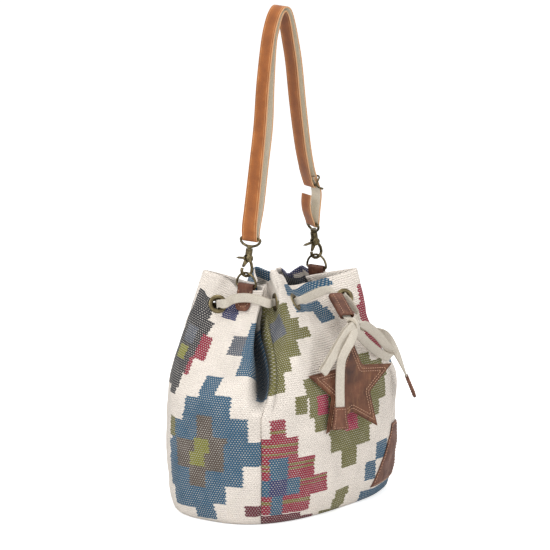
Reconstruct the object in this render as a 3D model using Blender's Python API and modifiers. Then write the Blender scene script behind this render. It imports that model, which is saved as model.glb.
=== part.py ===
"""Drawstring bucket bag in woven cloth with leather trim, a doubled shoulder strap and a star charm.

Metres, +Z up. The origin is the centre of the base on the floor, +X runs along the long side of
the bag, and the front panel with the bow and the star faces -Y.
"""
import math

import bmesh
import bpy
import numpy as np
from mathutils import Matrix, Vector

MM = 0.001

# Body of the bag: height, half length, half width and squareness of its outline, bottom to shoulder
BODY_OUTLINES = (
    (0.0, 143.5, 86.5),
    (3.5, 147.5, 91.0),
    (14.0, 151.5, 95.0),
    (45.0, 155.5, 99.5),
    (95.0, 156.5, 100.5),
    (150.0, 154.0, 98.0),
)
BODY_POWER = 2.7
SHOULDER_HEIGHT = 150.0
NECK_ROWS = (0.2, 0.4, 0.54, 0.66, 0.78, 0.9, 1.0)
EYELET_ROW = 0.78
SHOULDER_SOFTNESS = 0.15
CLOTH_THICKNESS = 1.6
SEAM_GAP = 0.6
GAP = 0.3
FRONT_COLUMNS = 22
GUSSET_COLUMNS = 13

# Rim of the gathered mouth: panel, column, x, y, height, and how late the fold starts on the way up
RIM = (
    ("front", 0, -32.0, -4.0, 266.0, 0.9),
    ("front", 2, -50.0, -21.0, 279.0, 1.0),
    ("front", 4, -68.0, -35.0, 290.0, 1.0),
    ("front", 7, -40.0, -33.0, 277.0, 1.1),
    ("front", 10, -8.0, -14.0, 260.0, 1.5),
    ("front", 14, 30.0, -37.0, 264.0, 1.2),
    ("front", 18, 68.0, -58.0, 273.0, 0.9),
    ("front", 20, 58.0, -34.0, 268.0, 1.0),
    ("front", 22, 41.0, -7.0, 262.0, 0.8),
    ("right", 2, 55.0, -15.0, 262.0, 0.8),
    ("right", 4, 66.0, -21.0, 263.0, 0.7),
    ("right", 6, 70.0, 0.0, 263.0, 0.6),
    ("right", 8, 68.0, 21.0, 267.0, 0.7),
    ("right", 10, 62.0, 34.0, 257.0, 1.0),
    ("right", 13, 72.0, 54.0, 260.0, 1.0),
    ("back", 3, 50.0, 46.0, 258.0, 1.0),
    ("back", 7, 34.0, 24.0, 256.0, 1.2),
    ("back", 12, 12.0, 50.0, 271.0, 1.0),
    ("back", 16, -18.0, 26.0, 260.0, 1.2),
    ("back", 19, -46.0, 44.0, 270.0, 1.0),
    ("back", 22, -84.0, 50.0, 282.0, 1.0),
    ("left", 3, -77.0, 29.0, 276.0, 1.0),
    ("left", 5, -70.0, 20.0, 268.0, 0.7),
    ("left", 7, -70.0, 0.0, 263.0, 0.6),
    ("left", 9, -65.0, -20.5, 264.0, 0.7),
    ("left", 11, -50.0, -12.0, 265.0, 0.8),
)

# Eyelets, in the order in which the drawstring meets them: panel and column
EYELETS = (
    ("left", 4),
    ("front", 2),
    ("front", 7),
    ("front", 15),
    ("front", 20),
    ("right", 10),
    ("back", 3),
    ("back", 19),
)
EYELET_RADIUS = 11.0
EYELET_BORE = 5.9
EYELET_WALL = 0.7
EYELET_SIDES = 12
PRESSED_FLAT = 11.3

# Ring tabs and D-rings on the gussets
TAB_COLUMNS = (("left", 7, -1.0), ("right", 6, 1.0))
TAB_X = 70.0
TAB_LEAN = 0.3
TAB_WIDTH = 21.6
TAB_LENGTH = 24.0
TAB_THICKNESS = 1.5
RIM_AT_TAB = 263.0
RING_BAR_HEIGHT = RIM_AT_TAB + 3.5
RING_WIRE = 1.4
RING_ARC = 14.0
RING_ARC_HEIGHT = RING_BAR_HEIGHT + 1.7

# Snap hooks, in a frame whose origin is the ring's wire: h to the side, w up along the hook
EYE_X = 60.5
EYE_HEIGHT = 322.0
HOOK_TURN = math.radians(22.0)
EYE_TURNS = {"left": math.radians(-5.0), "right": math.radians(24.0)}
CLAW_CLEARANCE = 0.6
CLAW_RADIUS = 6.8
CLAW_WIRE = 1.9
BARREL_RADIUS = 4.2
POST_RADIUS = 1.7
POST_HEAD = 2.8
BOSS_HEIGHT = 17.0
BARREL_LOW = BOSS_HEIGHT + 3.6
BARREL_HIGH = BARREL_LOW + 7.8
BOSS_RADIUS = 4.6
BOSS_WIDTH = 8.0
SLOT_WIDTH = 4.6
GATE_THICKNESS = 2.2
PIN_RADIUS = 1.0
EYE_WIRE = 1.6
EYE_HALF_WIDTH = 13.4
EYE_LOW = BARREL_HIGH + 2.6

# Shoulder strap and slider
STRAP_WIDTH = 20.0
STRAP_THICKNESS = 2.0
STRAP_OUTER = (
    (-63.0, 336.0), (-58.8, 358.7), (-50.5, 405.0), (-42.5, 451.5), (-37.1, 498.7), (-28.6, 545.5),
    (-21.4, 568.0), (-13.5, 581.5), (-4.0, 587.5), (6.5, 583.0), (14.0, 568.0), (20.5, 548.0),
    (28.5, 517.0), (36.7, 468.0), (46.5, 419.0), (53.5, 394.0),
)
STRAP_INNER = (
    (43.5, 392.0), (36.0, 418.7), (26.2, 468.2), (18.6, 517.0), (12.0, 545.0), (6.7, 565.0),
    (1.5, 578.0), (-5.0, 582.8), (-11.8, 576.0), (-16.8, 564.0), (-23.6, 545.5), (-29.5, 498.7),
    (-31.8, 451.5), (-41.5, 405.0), (-50.6, 358.7), (-56.6, 334.0),
)
STRAP_TURNS = ((-63.0, -5.0), (-43.0, 7.0), (0.0, 8.0), (30.0, 13.0), (50.0, 20.0), (60.0, 24.0))
SLIDER_CENTRE = (56.5, 369.0)
SLIDER_LEAN = math.radians(19.0)
SLIDER_TURN = math.radians(20.0)
SLIDER_HALF_WIDTH = 12.9
SLIDER_HALF_HEIGHT = 8.5
SLIDER_WIRE = 1.2

# Drawstring, bow and star
LACE_WIDTH = 11.0
LACE_IN_EYELET = 9.0
LACE_IN_KNOT = 5.0
LACE_THICKNESS = 1.8
KEEPER_TOP = (20.0, -63.0, 249.0)
KEEPER_FOOT = (6.0, -91.0, 229.0)
KEEPER_WIDTH = 18.0
KEEPER_DEPTH = 7.6
KEEPER_WALL = 1.3
KNOT_CENTRE = (-1.0, -105.0, 221.0)
KNOT_SIZE = (8.5, 5.5, 7.5)
STAR_CENTRE = (-12.4, -109.8, 151.0)
STAR_RADIUS = 64.0
STAR_MARGIN = 3.0
STAR_THICKNESS = 1.4
STAR_TURN = math.radians(17.0)
STAR_LEAN = math.radians(2.5)
STAR_ROLL = math.radians(0.0)
STAR_HOLE = 1.6
HANGER_RADIUS = 0.9
TIP_LENGTH = 26.0
TIP_WIDTH = 20.8
TIP_THICKNESS = 3.6

PATCH_COLUMNS = (15.2, 21.6)
PATCH_HEIGHTS = (17.0, 84.0)
PATCH_SLANT = 4.6
PATCH_THICKNESS = 1.6

for old in list(bpy.data.objects):
    bpy.data.objects.remove(old, do_unlink=True)
PARTS = bpy.data.collections.new("bucket_bag")
CUTTERS = bpy.data.collections.new("cutters")
bpy.context.scene.collection.children.link(PARTS)
bpy.context.scene.collection.children.link(CUTTERS)


def finish(name, red, green, blue, roughness, metallic=0.0):
    """A Principled material of one colour."""
    made = bpy.data.materials.new(name)
    made.use_nodes = True
    shader = made.node_tree.nodes["Principled BSDF"]
    shader.inputs["Base Color"].default_value = (red, green, blue, 1.0)
    shader.inputs["Roughness"].default_value = roughness
    shader.inputs["Metallic"].default_value = metallic
    return made


CLOTH = finish("woven_cotton", 0.82, 0.76, 0.70, 0.95)
COTTON = finish("lining_cotton", 0.62, 0.60, 0.55, 0.95)
BRASS = finish("antique_brass", 0.20, 0.17, 0.10, 0.40, 1.0)
TAN = finish("tan_leather", 0.45, 0.15, 0.04, 0.55)
BROWN = finish("brown_leather", 0.20, 0.075, 0.04, 0.65)
LACE = finish("flat_lace", 0.68, 0.64, 0.56, 0.90)


def add_object(name, mesh, material, collection=PARTS):
    """Link a mesh as a named object with its material."""
    made = bpy.data.objects.new(name, mesh)
    collection.objects.link(made)
    if material is not None:
        mesh.materials.append(material)
    return made


def add_solid(name, points, faces, material, collection=PARTS):
    """A closed mesh from points in millimetres and faces, with its faces turned outwards."""
    shape = bmesh.new()
    made = [shape.verts.new(Vector(p) * MM) for p in points]
    for face in faces:
        shape.faces.new([made[i] for i in face])
    bmesh.ops.recalc_face_normals(shape, faces=shape.faces)
    mesh = bpy.data.meshes.new(name)
    shape.to_mesh(mesh)
    shape.free()
    return add_object(name, mesh, material, collection)


def loft(name, rings, material, collection=PARTS, ends="capped"):
    """A skin over rings of points: capped at both ends, or joined into a loop."""
    count = len(rings[0])
    points = [p for ring in rings for p in ring]
    faces = []
    last = len(rings) if ends == "joined" else len(rings) - 1
    for i in range(last):
        low, high = i * count, ((i + 1) % len(rings)) * count
        for j in range(count):
            k = (j + 1) % count
            faces.append((low + j, low + k, high + k, high + j))
    if ends == "capped":
        faces.append(tuple(range(count)))
        faces.append(tuple(range(len(points) - count, len(points))))
    return add_solid(name, points, faces, material, collection)


def boolean(piece, cutter, operation):
    """Cut or join a piece with another, with the exact solver."""
    change = piece.modifiers.new(operation.lower(), "BOOLEAN")
    change.operation = operation
    change.object = cutter
    change.solver = "EXACT"
    cutter.hide_render = True
    cutter.display_type = "WIRE"


def smooth_line(points, steps):
    """A smooth curve through points, with a number of steps to each span."""
    knots = [np.array(p, float) for p in points]
    knots = [2 * knots[0] - knots[1]] + knots + [2 * knots[-1] - knots[-2]]
    line = []
    for a, b, c, d in zip(knots, knots[1:], knots[2:], knots[3:]):
        for n in range(steps):
            t = n / steps
            line.append(0.5 * (2 * b + (c - a) * t + (2 * a - 5 * b + 4 * c - d) * t * t
                               + (3 * b - a - 3 * c + d) * t ** 3))
    line.append(knots[-2])
    return line


def ribbon_rings(line, across, width, thickness, soft=True):
    """Flat sections along a line; across is the width's direction at every point."""
    rings = []
    for i, point in enumerate(line):
        ahead = line[min(i + 1, len(line) - 1)] - line[max(i - 1, 0)]
        ahead = ahead / np.linalg.norm(ahead)
        side = np.array(across[i], float)
        side = side - ahead * (side @ ahead)
        side = side / np.linalg.norm(side)
        up = np.cross(ahead, side)
        wide = (width[i] if isinstance(width, (list, tuple)) else width) / 2
        thick = thickness / 2
        if soft:
            flat = wide - thick
            outline = ((-wide, 0), (-flat, -thick), (flat, -thick), (wide, 0), (flat, thick), (-flat, thick))
        else:
            outline = ((-wide, -thick), (wide, -thick), (wide, thick), (-wide, thick))
        rings.append([point + side * a + up * b for a, b in outline])
    return rings


def tube(name, points, radius, material, cyclic=False, resolution=2):
    """A round wire along points in millimetres, as a mesh with its caps welded."""
    data = bpy.data.curves.new(name, "CURVE")
    data.dimensions = "3D"
    data.bevel_depth = radius * MM
    data.bevel_resolution = resolution
    data.use_fill_caps = not cyclic
    spline = data.splines.new("POLY")
    spline.points.add(len(points) - 1)
    for slot, point in zip(spline.points, points):
        slot.co = (*(np.array(point, float) * MM), 1.0)
    spline.use_cyclic_u = cyclic
    wire = bpy.data.objects.new(name + "_wire", data)
    PARTS.objects.link(wire)
    graph = bpy.context.evaluated_depsgraph_get()
    mesh = bpy.data.meshes.new_from_object(wire.evaluated_get(graph))
    bpy.data.objects.remove(wire, do_unlink=True)
    shape = bmesh.new()
    shape.from_mesh(mesh)
    bmesh.ops.remove_doubles(shape, verts=shape.verts, dist=0.00001)
    bmesh.ops.recalc_face_normals(shape, faces=shape.faces)
    shape.to_mesh(mesh)
    shape.free()
    return add_object(name, mesh, material)


def closed_spline(places, values):
    """A smooth closed curve through values at places from 0 to 1, as a function of place."""
    count = len(places)
    span = [(places[(i + 1) % count] - places[i]) % 1.0 for i in range(count)]
    table = np.zeros((count, count))
    right = np.zeros((count, len(values[0])))
    values = np.array(values, float)
    for i in range(count):
        before, after = span[i - 1], span[i]
        table[i, i - 1] += 1 / before
        table[i, i] += 2 * (1 / before + 1 / after)
        table[i, (i + 1) % count] += 1 / after
        right[i] = 3 * ((values[i] - values[i - 1]) / before ** 2
                        + (values[(i + 1) % count] - values[i]) / after ** 2)
    slope = np.linalg.solve(table, right)

    def at(place):
        i = max((k for k in range(count) if places[k] <= place % 1.0), default=count - 1)
        j = (i + 1) % count
        t = ((place - places[i]) % 1.0) / span[i]
        return (values[i] * (1 + 2 * t) * (1 - t) ** 2 + slope[i] * span[i] * t * (1 - t) ** 2
                + values[j] * t * t * (3 - 2 * t) + slope[j] * span[i] * t * t * (t - 1))

    return at


class Cloth:
    """The outer face of the four gathered panels, as one closed grid of columns and rows."""

    def __init__(self):
        """Work out the shares of the panels, the rim and the grid."""
        self.panels = ("front", "right", "back", "left")
        self.columns = {"front": FRONT_COLUMNS, "back": FRONT_COLUMNS,
                        "right": GUSSET_COLUMNS, "left": GUSSET_COLUMNS}
        turns = np.linspace(-0.75 * math.pi, 1.25 * math.pi, 1441)
        outline = np.array([self.outline(t, 154.0, 98.0) for t in turns])
        steps = np.linalg.norm(np.diff(outline, axis=0), axis=1)
        self.turns, self.along = turns, np.concatenate([[0], np.cumsum(steps)])
        self.girth = self.along[-1]
        self.along = self.along / self.girth
        corner = {name: self.along[360 * i] for i, name in enumerate(self.panels)}
        self.start = corner
        self.size = {"front": corner["right"], "right": corner["back"] - corner["right"],
                     "back": corner["left"] - corner["back"], "left": 1 - corner["left"]}
        rim = sorted((self.place(panel, column), x, y, z, late) for panel, column, x, y, z, late in RIM
                     if not (panel == "left" and column == GUSSET_COLUMNS))
        self.rim = closed_spline([r[0] for r in rim], [r[1:] for r in rim])
        self.first = {"front": 0, "right": FRONT_COLUMNS,
                      "back": FRONT_COLUMNS + GUSSET_COLUMNS, "left": 2 * FRONT_COLUMNS + GUSSET_COLUMNS}
        self.total = 2 * (FRONT_COLUMNS + GUSSET_COLUMNS)
        self.build()

    def place(self, panel, column):
        """Share of the girth at a panel's column, counted from the near left seam."""
        return (self.start[panel] + self.size[panel] * column / self.columns[panel]) % 1.0

    @staticmethod
    def outline(turn, half_x, half_y):
        """A point of the rounded outline of the body."""
        c, s = math.cos(turn), math.sin(turn)
        power = 2 / BODY_POWER
        return (half_x * math.copysign(abs(c) ** power, c), half_y * math.copysign(abs(s) ** power, s))

    def body(self, share, height):
        """A point of the body at a share of the girth and a height."""
        heights = [o[0] for o in BODY_OUTLINES]
        half_x = np.interp(height, heights, [o[1] for o in BODY_OUTLINES])
        half_y = np.interp(height, heights, [o[2] for o in BODY_OUTLINES])
        turn = np.interp(share % 1.0, self.along, self.turns)
        return np.array(self.outline(turn, half_x, half_y))

    def neck(self, share, rise):
        """A point between the shoulder, at rise 0, and the rim, at rise 1."""
        x, y, top, late = self.rim(share)
        height = SHOULDER_HEIGHT + (top - SHOULDER_HEIGHT) * rise
        soft = rise * rise * (1 + SHOULDER_SOFTNESS) / (rise + SHOULDER_SOFTNESS)
        pull = soft ** late
        flat = self.body(share, SHOULDER_HEIGHT) * (1 - pull) + np.array([x, y]) * pull
        return np.array([flat[0], flat[1], height])

    def build(self):
        """Fill the grid, then press it flat under the eyelets and the ring tabs."""
        rows = []
        shares = [self.place(p, c) for p in self.panels for c in range(self.columns[p])]
        for height, _, _ in BODY_OUTLINES:
            rows.append([np.array([*self.body(s, height), height]) for s in shares])
        for rise in NECK_ROWS:
            rows.append([self.neck(s, rise) for s in shares])
        self.grid = np.array(rows)
        self.row = {rise: len(BODY_OUTLINES) + i for i, rise in enumerate(NECK_ROWS)}
        self.normals = self.find_normals()
        self.flat = np.zeros(self.grid.shape[:2], bool)
        self.eyelets = [self.press(panel, column) for panel, column in EYELETS]
        for panel, column, side in TAB_COLUMNS:
            self.press_tab(panel, column, side)
        self.ease()
        self.normals = self.find_normals()
        for (panel, column), (_, normal) in zip(EYELETS, self.eyelets):
            middle, row = self.first[panel] + column, self.row[EYELET_ROW]
            for i in (-1, 0, 1):
                for j in (-1, 0, 1):
                    self.normals[row + j, (middle + i) % self.total] = normal
        for panel, column, side in TAB_COLUMNS:
            lean = np.array([side, 0, TAB_LEAN]) / math.hypot(1, TAB_LEAN)
            for i in (-1, 0, 1):
                self.normals[self.row[0.78]:, (self.first[panel] + column + i) % self.total] = lean

    def find_normals(self):
        """Outward normals of the grid."""
        round_it = np.roll(self.grid, -1, axis=1) - np.roll(self.grid, 1, axis=1)
        up = np.gradient(self.grid, axis=0)
        normal = np.cross(round_it, up)
        return normal / np.linalg.norm(normal, axis=2, keepdims=True)

    def press(self, panel, column):
        """Flatten nine grid points round an eyelet; gives its centre and outward normal."""
        middle, row = self.first[panel] + column, self.row[EYELET_ROW]
        centre, normal = self.grid[row, middle].copy(), self.normals[row, middle].copy()
        side = np.cross([0, 0, 1], normal)
        side = side / np.linalg.norm(side)
        up = np.cross(normal, side)
        for i in (-1, 0, 1):
            for j in (-1, 0, 1):
                spot = centre + side * i * PRESSED_FLAT + up * j * PRESSED_FLAT
                self.grid[row + j, (middle + i) % self.total] = spot
                self.flat[row + j, (middle + i) % self.total] = True
        return centre, normal

    def press_tab(self, panel, column, side):
        """Lay the cloth flat where a ring tab is sewn on."""
        for i in (-1, 0, 1):
            for rise in (0.78, 0.9, 1.0):
                height = SHOULDER_HEIGHT + (RIM_AT_TAB - SHOULDER_HEIGHT) * rise
                x = side * (TAB_X + TAB_LEAN * (RIM_AT_TAB - height))
                y = side * i * (TAB_WIDTH / 2 + 1.0)
                spot = self.row[rise], (self.first[panel] + column + i) % self.total
                self.grid[spot] = (x, y, height)
                self.flat[spot] = True

    def ease(self):
        """Draw the columns beside a flat patch half way towards the next ones."""
        calm = self.grid.copy()
        for row, column in zip(*np.nonzero(~self.flat)):
            before, after = (column - 1) % self.total, (column + 1) % self.total
            if self.flat[row, before] == self.flat[row, after]:
                continue
            edge, inside = (before, before - 1) if self.flat[row, before] else (after, (after + 1) % self.total)
            onward = self.grid[row, edge] - self.grid[row, inside]
            step = self.grid[row, column] - self.grid[row, edge]
            if np.linalg.norm(step) < 6.0 or step @ onward < 0:
                calm[row, column] = (self.grid[row, before] + self.grid[row, after]) / 2
        self.grid = calm

    def panel_faces(self, panel):
        """The outer and inner grids of one panel, held back from its seams."""
        chosen = [(self.first[panel] + i) % self.total for i in range(self.columns[panel] + 1)]
        outer = self.grid[:, chosen].copy()
        inner = outer - CLOTH_THICKNESS * self.normals[:, chosen]
        for face in (outer, inner):
            for edge, inside in ((0, 1), (-1, -2)):
                step = face[:, inside] - face[:, edge]
                face[:, edge] += step / np.linalg.norm(step, axis=1, keepdims=True) * SEAM_GAP / 2
        return outer, inner

    def spot(self, column, height):
        """A point of the front panel's outer face and its normal, at a column and a height."""
        share = self.place("front", column)
        step = 0.002
        here = self.body(share, height)
        along = self.body(share + step, height) - self.body(share - step, height)
        above = (self.body(share, height + 1) - self.body(share, height - 1)) / 2
        normal = np.cross([*along, 0], [*above, 1])
        return np.array([*here, height]), normal / np.linalg.norm(normal)


def quilt(name, outer, inner, material, holes=()):
    """A closed sheet between two grids of points; a hole takes the four cells round a grid point."""
    rows, columns = outer.shape[:2]
    points = [p for face in (outer, inner) for row in face for p in row]
    half = rows * columns

    def at(face, row, column):
        return face * half + row * columns + column

    faces = []
    open_cells = {(row + i, column + j) for row, column, _ in holes for i in (-1, 0) for j in (-1, 0)}
    around = ((0, 1), (1, 1), (1, 0), (1, -1), (0, -1), (-1, -1), (-1, 0), (-1, 1))
    for row, column, radius in holes:
        start = len(points)
        for face, grid in enumerate((outer, inner)):
            centre = grid[row, column]
            for i, j in around:
                reach = grid[row + i, column + j] - centre
                points.append(centre + reach / np.linalg.norm(reach) * radius)
        for k, (i, j) in enumerate(around):
            m = (k + 1) % 8
            p, q = around[m]
            for face in (0, 1):
                edge = start + 8 * face
                faces.append((at(face, row + i, column + j), at(face, row + p, column + q), edge + m, edge + k))
            faces.append((start + k, start + m, start + 8 + m, start + 8 + k))
    for r in range(rows - 1):
        for c in range(columns - 1):
            if (r, c) in open_cells:
                continue
            faces.append((at(0, r, c), at(0, r, c + 1), at(0, r + 1, c + 1), at(0, r + 1, c)))
            faces.append((at(1, r, c), at(1, r + 1, c), at(1, r + 1, c + 1), at(1, r, c + 1)))
    for r in range(rows - 1):
        for c in (0, columns - 1):
            faces.append((at(0, r, c), at(0, r + 1, c), at(1, r + 1, c), at(1, r, c)))
    for c in range(columns - 1):
        for r in (0, rows - 1):
            faces.append((at(0, r, c), at(0, r, c + 1), at(1, r, c + 1), at(1, r, c)))
    return add_solid(name, points, faces, material)


def frame_at(centre, normal):
    """A matrix in metres whose Z axis is the normal, with X level."""
    normal = Vector(normal).normalized()
    side = Vector((0, 0, 1)).cross(normal).normalized()
    up = normal.cross(side)
    turn = Matrix((side, up, normal)).transposed().to_4x4()
    return Matrix.Translation(Vector(centre) * MM) @ turn


def cylinder(name, matrix, radius, low, high, sides=12, material=None, collection=CUTTERS):
    """A cylinder along the Z axis of a matrix, between two heights in millimetres."""
    shape = bmesh.new()
    bmesh.ops.create_cone(shape, cap_ends=True, segments=sides, radius1=radius * MM, radius2=radius * MM,
                          depth=(high - low) * MM)
    bmesh.ops.translate(shape, verts=shape.verts, vec=(0, 0, (high + low) / 2 * MM))
    mesh = bpy.data.meshes.new(name)
    shape.to_mesh(mesh)
    shape.free()
    made = add_object(name, mesh, material, collection)
    made.matrix_world = matrix
    return made


def turned(name, profile, matrix, material):
    """A closed profile of (radius, height) turned about the Z axis of a matrix."""
    mesh = bpy.data.meshes.new(name)
    edges = [(i, (i + 1) % len(profile)) for i in range(len(profile))]
    mesh.from_pydata([(r * MM, 0, z * MM) for r, z in profile], edges, [])
    made = add_object(name, mesh, material)
    spin = made.modifiers.new("turn", "SCREW")
    spin.steps = spin.render_steps = EYELET_SIDES
    spin.use_merge_vertices = True
    spin.merge_threshold = 0.00001
    spin.use_smooth_shade = False
    made.matrix_world = matrix
    return made


def make_panels(cloth):
    """The four panels, with a hole for the barrel of each eyelet."""
    names = {"front": "front_panel", "right": "right_gusset", "back": "back_panel", "left": "left_gusset"}
    hole = (EYELET_BORE + EYELET_WALL + GAP) / math.cos(math.pi / 8)
    for panel, name in names.items():
        outer, inner = cloth.panel_faces(panel)
        holes = [(cloth.row[EYELET_ROW], column, hole) for where, column in EYELETS if where == panel]
        quilt(name, outer, inner, CLOTH, holes)


def make_base(cloth):
    """The oval base panel inside the lower edge of the four panels."""
    inset = CLOTH_THICKNESS + 0.4
    half_x, half_y = BODY_OUTLINES[0][1] - inset, BODY_OUTLINES[0][2] - inset
    shares = [i / 48 for i in range(48)]
    rings = []
    for height in (0.0, CLOTH_THICKNESS + 0.4):
        ring = []
        for share in shares:
            x, y = cloth.outline(np.interp(share, cloth.along, cloth.turns), half_x, half_y)
            ring.append((x, y, height))
        rings.append(ring)
    loft("base_panel", rings, CLOTH)


def make_lining(cloth):
    """The cotton lining, a thin cup inside the panels that ends below the eyelets."""
    gap, wall = CLOTH_THICKNESS + 0.6, 0.5
    bottom = CLOTH_THICKNESS + 0.4 + GAP
    last = cloth.row[0.66]
    cups = []
    for depth, floor in ((gap, bottom), (gap + wall, bottom + wall)):
        inset = 15.0 + depth
        ring = []
        for i in range(cloth.total):
            share = cloth.place(*locate(cloth, i))
            turn = np.interp(share, cloth.along, cloth.turns)
            x, y = cloth.outline(turn, BODY_OUTLINES[0][1] - inset, BODY_OUTLINES[0][2] - inset)
            ring.append(np.array([x, y, floor]))
        rows = [ring]
        for r in range(2, last):
            rows.append(list(cloth.grid[r] - depth * cloth.normals[r]))
        cups.append(rows)
    outer, inner = cups
    points = [p for rows in (outer, inner) for row in rows for p in row]
    count, levels = cloth.total, len(outer)
    half = count * levels
    faces = [tuple(range(count)), tuple(range(half, half + count))]
    for side in (0, half):
        for r in range(levels - 1):
            for c in range(count):
                d = (c + 1) % count
                low, high = side + r * count, side + (r + 1) * count
                faces.append((low + c, low + d, high + d, high + c))
    top = (levels - 1) * count
    for c in range(count):
        d = (c + 1) % count
        faces.append((top + c, top + d, half + top + d, half + top + c))
    add_solid("lining", points, faces, COTTON)


def locate(cloth, index):
    """The panel and the column of a grid column."""
    for panel in cloth.panels:
        if index < cloth.first[panel] + cloth.columns[panel]:
            return panel, index - cloth.first[panel]
    return "front", 0


def make_eyelets(cloth):
    """Eight brass eyelets, each with a washer behind the cloth."""
    barrel = EYELET_BORE + EYELET_WALL
    back = -CLOTH_THICKNESS - GAP
    profile = ((8.4, 1.7), (10.4, 1.2), (EYELET_RADIUS, GAP), (barrel, GAP), (barrel, back - 1.3),
               (EYELET_BORE, back - 1.3), (EYELET_BORE, 1.0), (6.6, 1.6))
    washer = ((EYELET_RADIUS - 0.5, back), (EYELET_RADIUS - 0.9, back - 0.7), (barrel + GAP, back - 1.0),
              (barrel + GAP, back))
    for i, (centre, normal) in enumerate(cloth.eyelets):
        matrix = frame_at(centre, normal)
        turned(f"eyelet_{i + 1}", profile, matrix, BRASS)
        turned(f"eyelet_washer_{i + 1}", washer, matrix, BRASS)


def ring_bar_x(side):
    """Where the bar of a D-ring lies, over the middle of the cloth's rim."""
    return side * (TAB_X - CLOTH_THICKNESS / 2 - 0.2)


def make_tab(name, side):
    """A leather strip folded over the bar of a D-ring and sewn to both faces of the cloth."""
    half = TAB_THICKNESS / 2
    lean = math.atan(TAB_LEAN)
    out = np.array([side * math.cos(lean), 0, math.sin(lean)])
    down = np.array([side * math.sin(lean), 0, -math.cos(lean)])
    rim = np.array([side * TAB_X, 0, RIM_AT_TAB])
    outer, inner = GAP + half, -(CLOTH_THICKNESS + GAP + half)
    bar = np.array([ring_bar_x(side), 0, RING_BAR_HEIGHT])
    wrap = RING_WIRE + GAP + half
    line, width = [], []
    for drop, wide in ((TAB_LENGTH, 10.0), (TAB_LENGTH - 2.5, 17.0), (TAB_LENGTH - 6.0, 20.5),
                       (TAB_LENGTH - 11.0, TAB_WIDTH), (1.0, TAB_WIDTH)):
        line.append(rim + out * outer + down * drop)
        width.append(wide)
    for turn in (-20, 20, 60, 90, 120, 160, 200):
        angle = math.radians(turn)
        line.append(bar + wrap * np.array([side * math.cos(angle), 0, math.sin(angle)]))
        width.append(TAB_WIDTH)
    for drop in (1.0, 17.0):
        line.append(rim + out * inner + down * drop)
        width.append(TAB_WIDTH)
    rings = ribbon_rings(line, [(0, 1, 0)] * len(line), width, TAB_THICKNESS, soft=False)
    loft(name, rings, BROWN)


def make_d_ring(name, side):
    """A D-ring of round wire: a straight bar below and a half circle above."""
    x = ring_bar_x(side)
    points = [(x, -RING_ARC + 1.5, RING_BAR_HEIGHT), (x, RING_ARC - 1.5, RING_BAR_HEIGHT),
              (x, RING_ARC - 0.4, RING_BAR_HEIGHT + 1.0)]
    for i in range(13):
        turn = math.pi * i / 12
        points.append((x, RING_ARC * math.cos(turn), RING_ARC_HEIGHT + RING_ARC * math.sin(turn)))
    points.append((x, -RING_ARC + 0.4, RING_BAR_HEIGHT + 1.0))
    tube(name, points, RING_WIRE, BRASS, cyclic=True)


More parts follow.
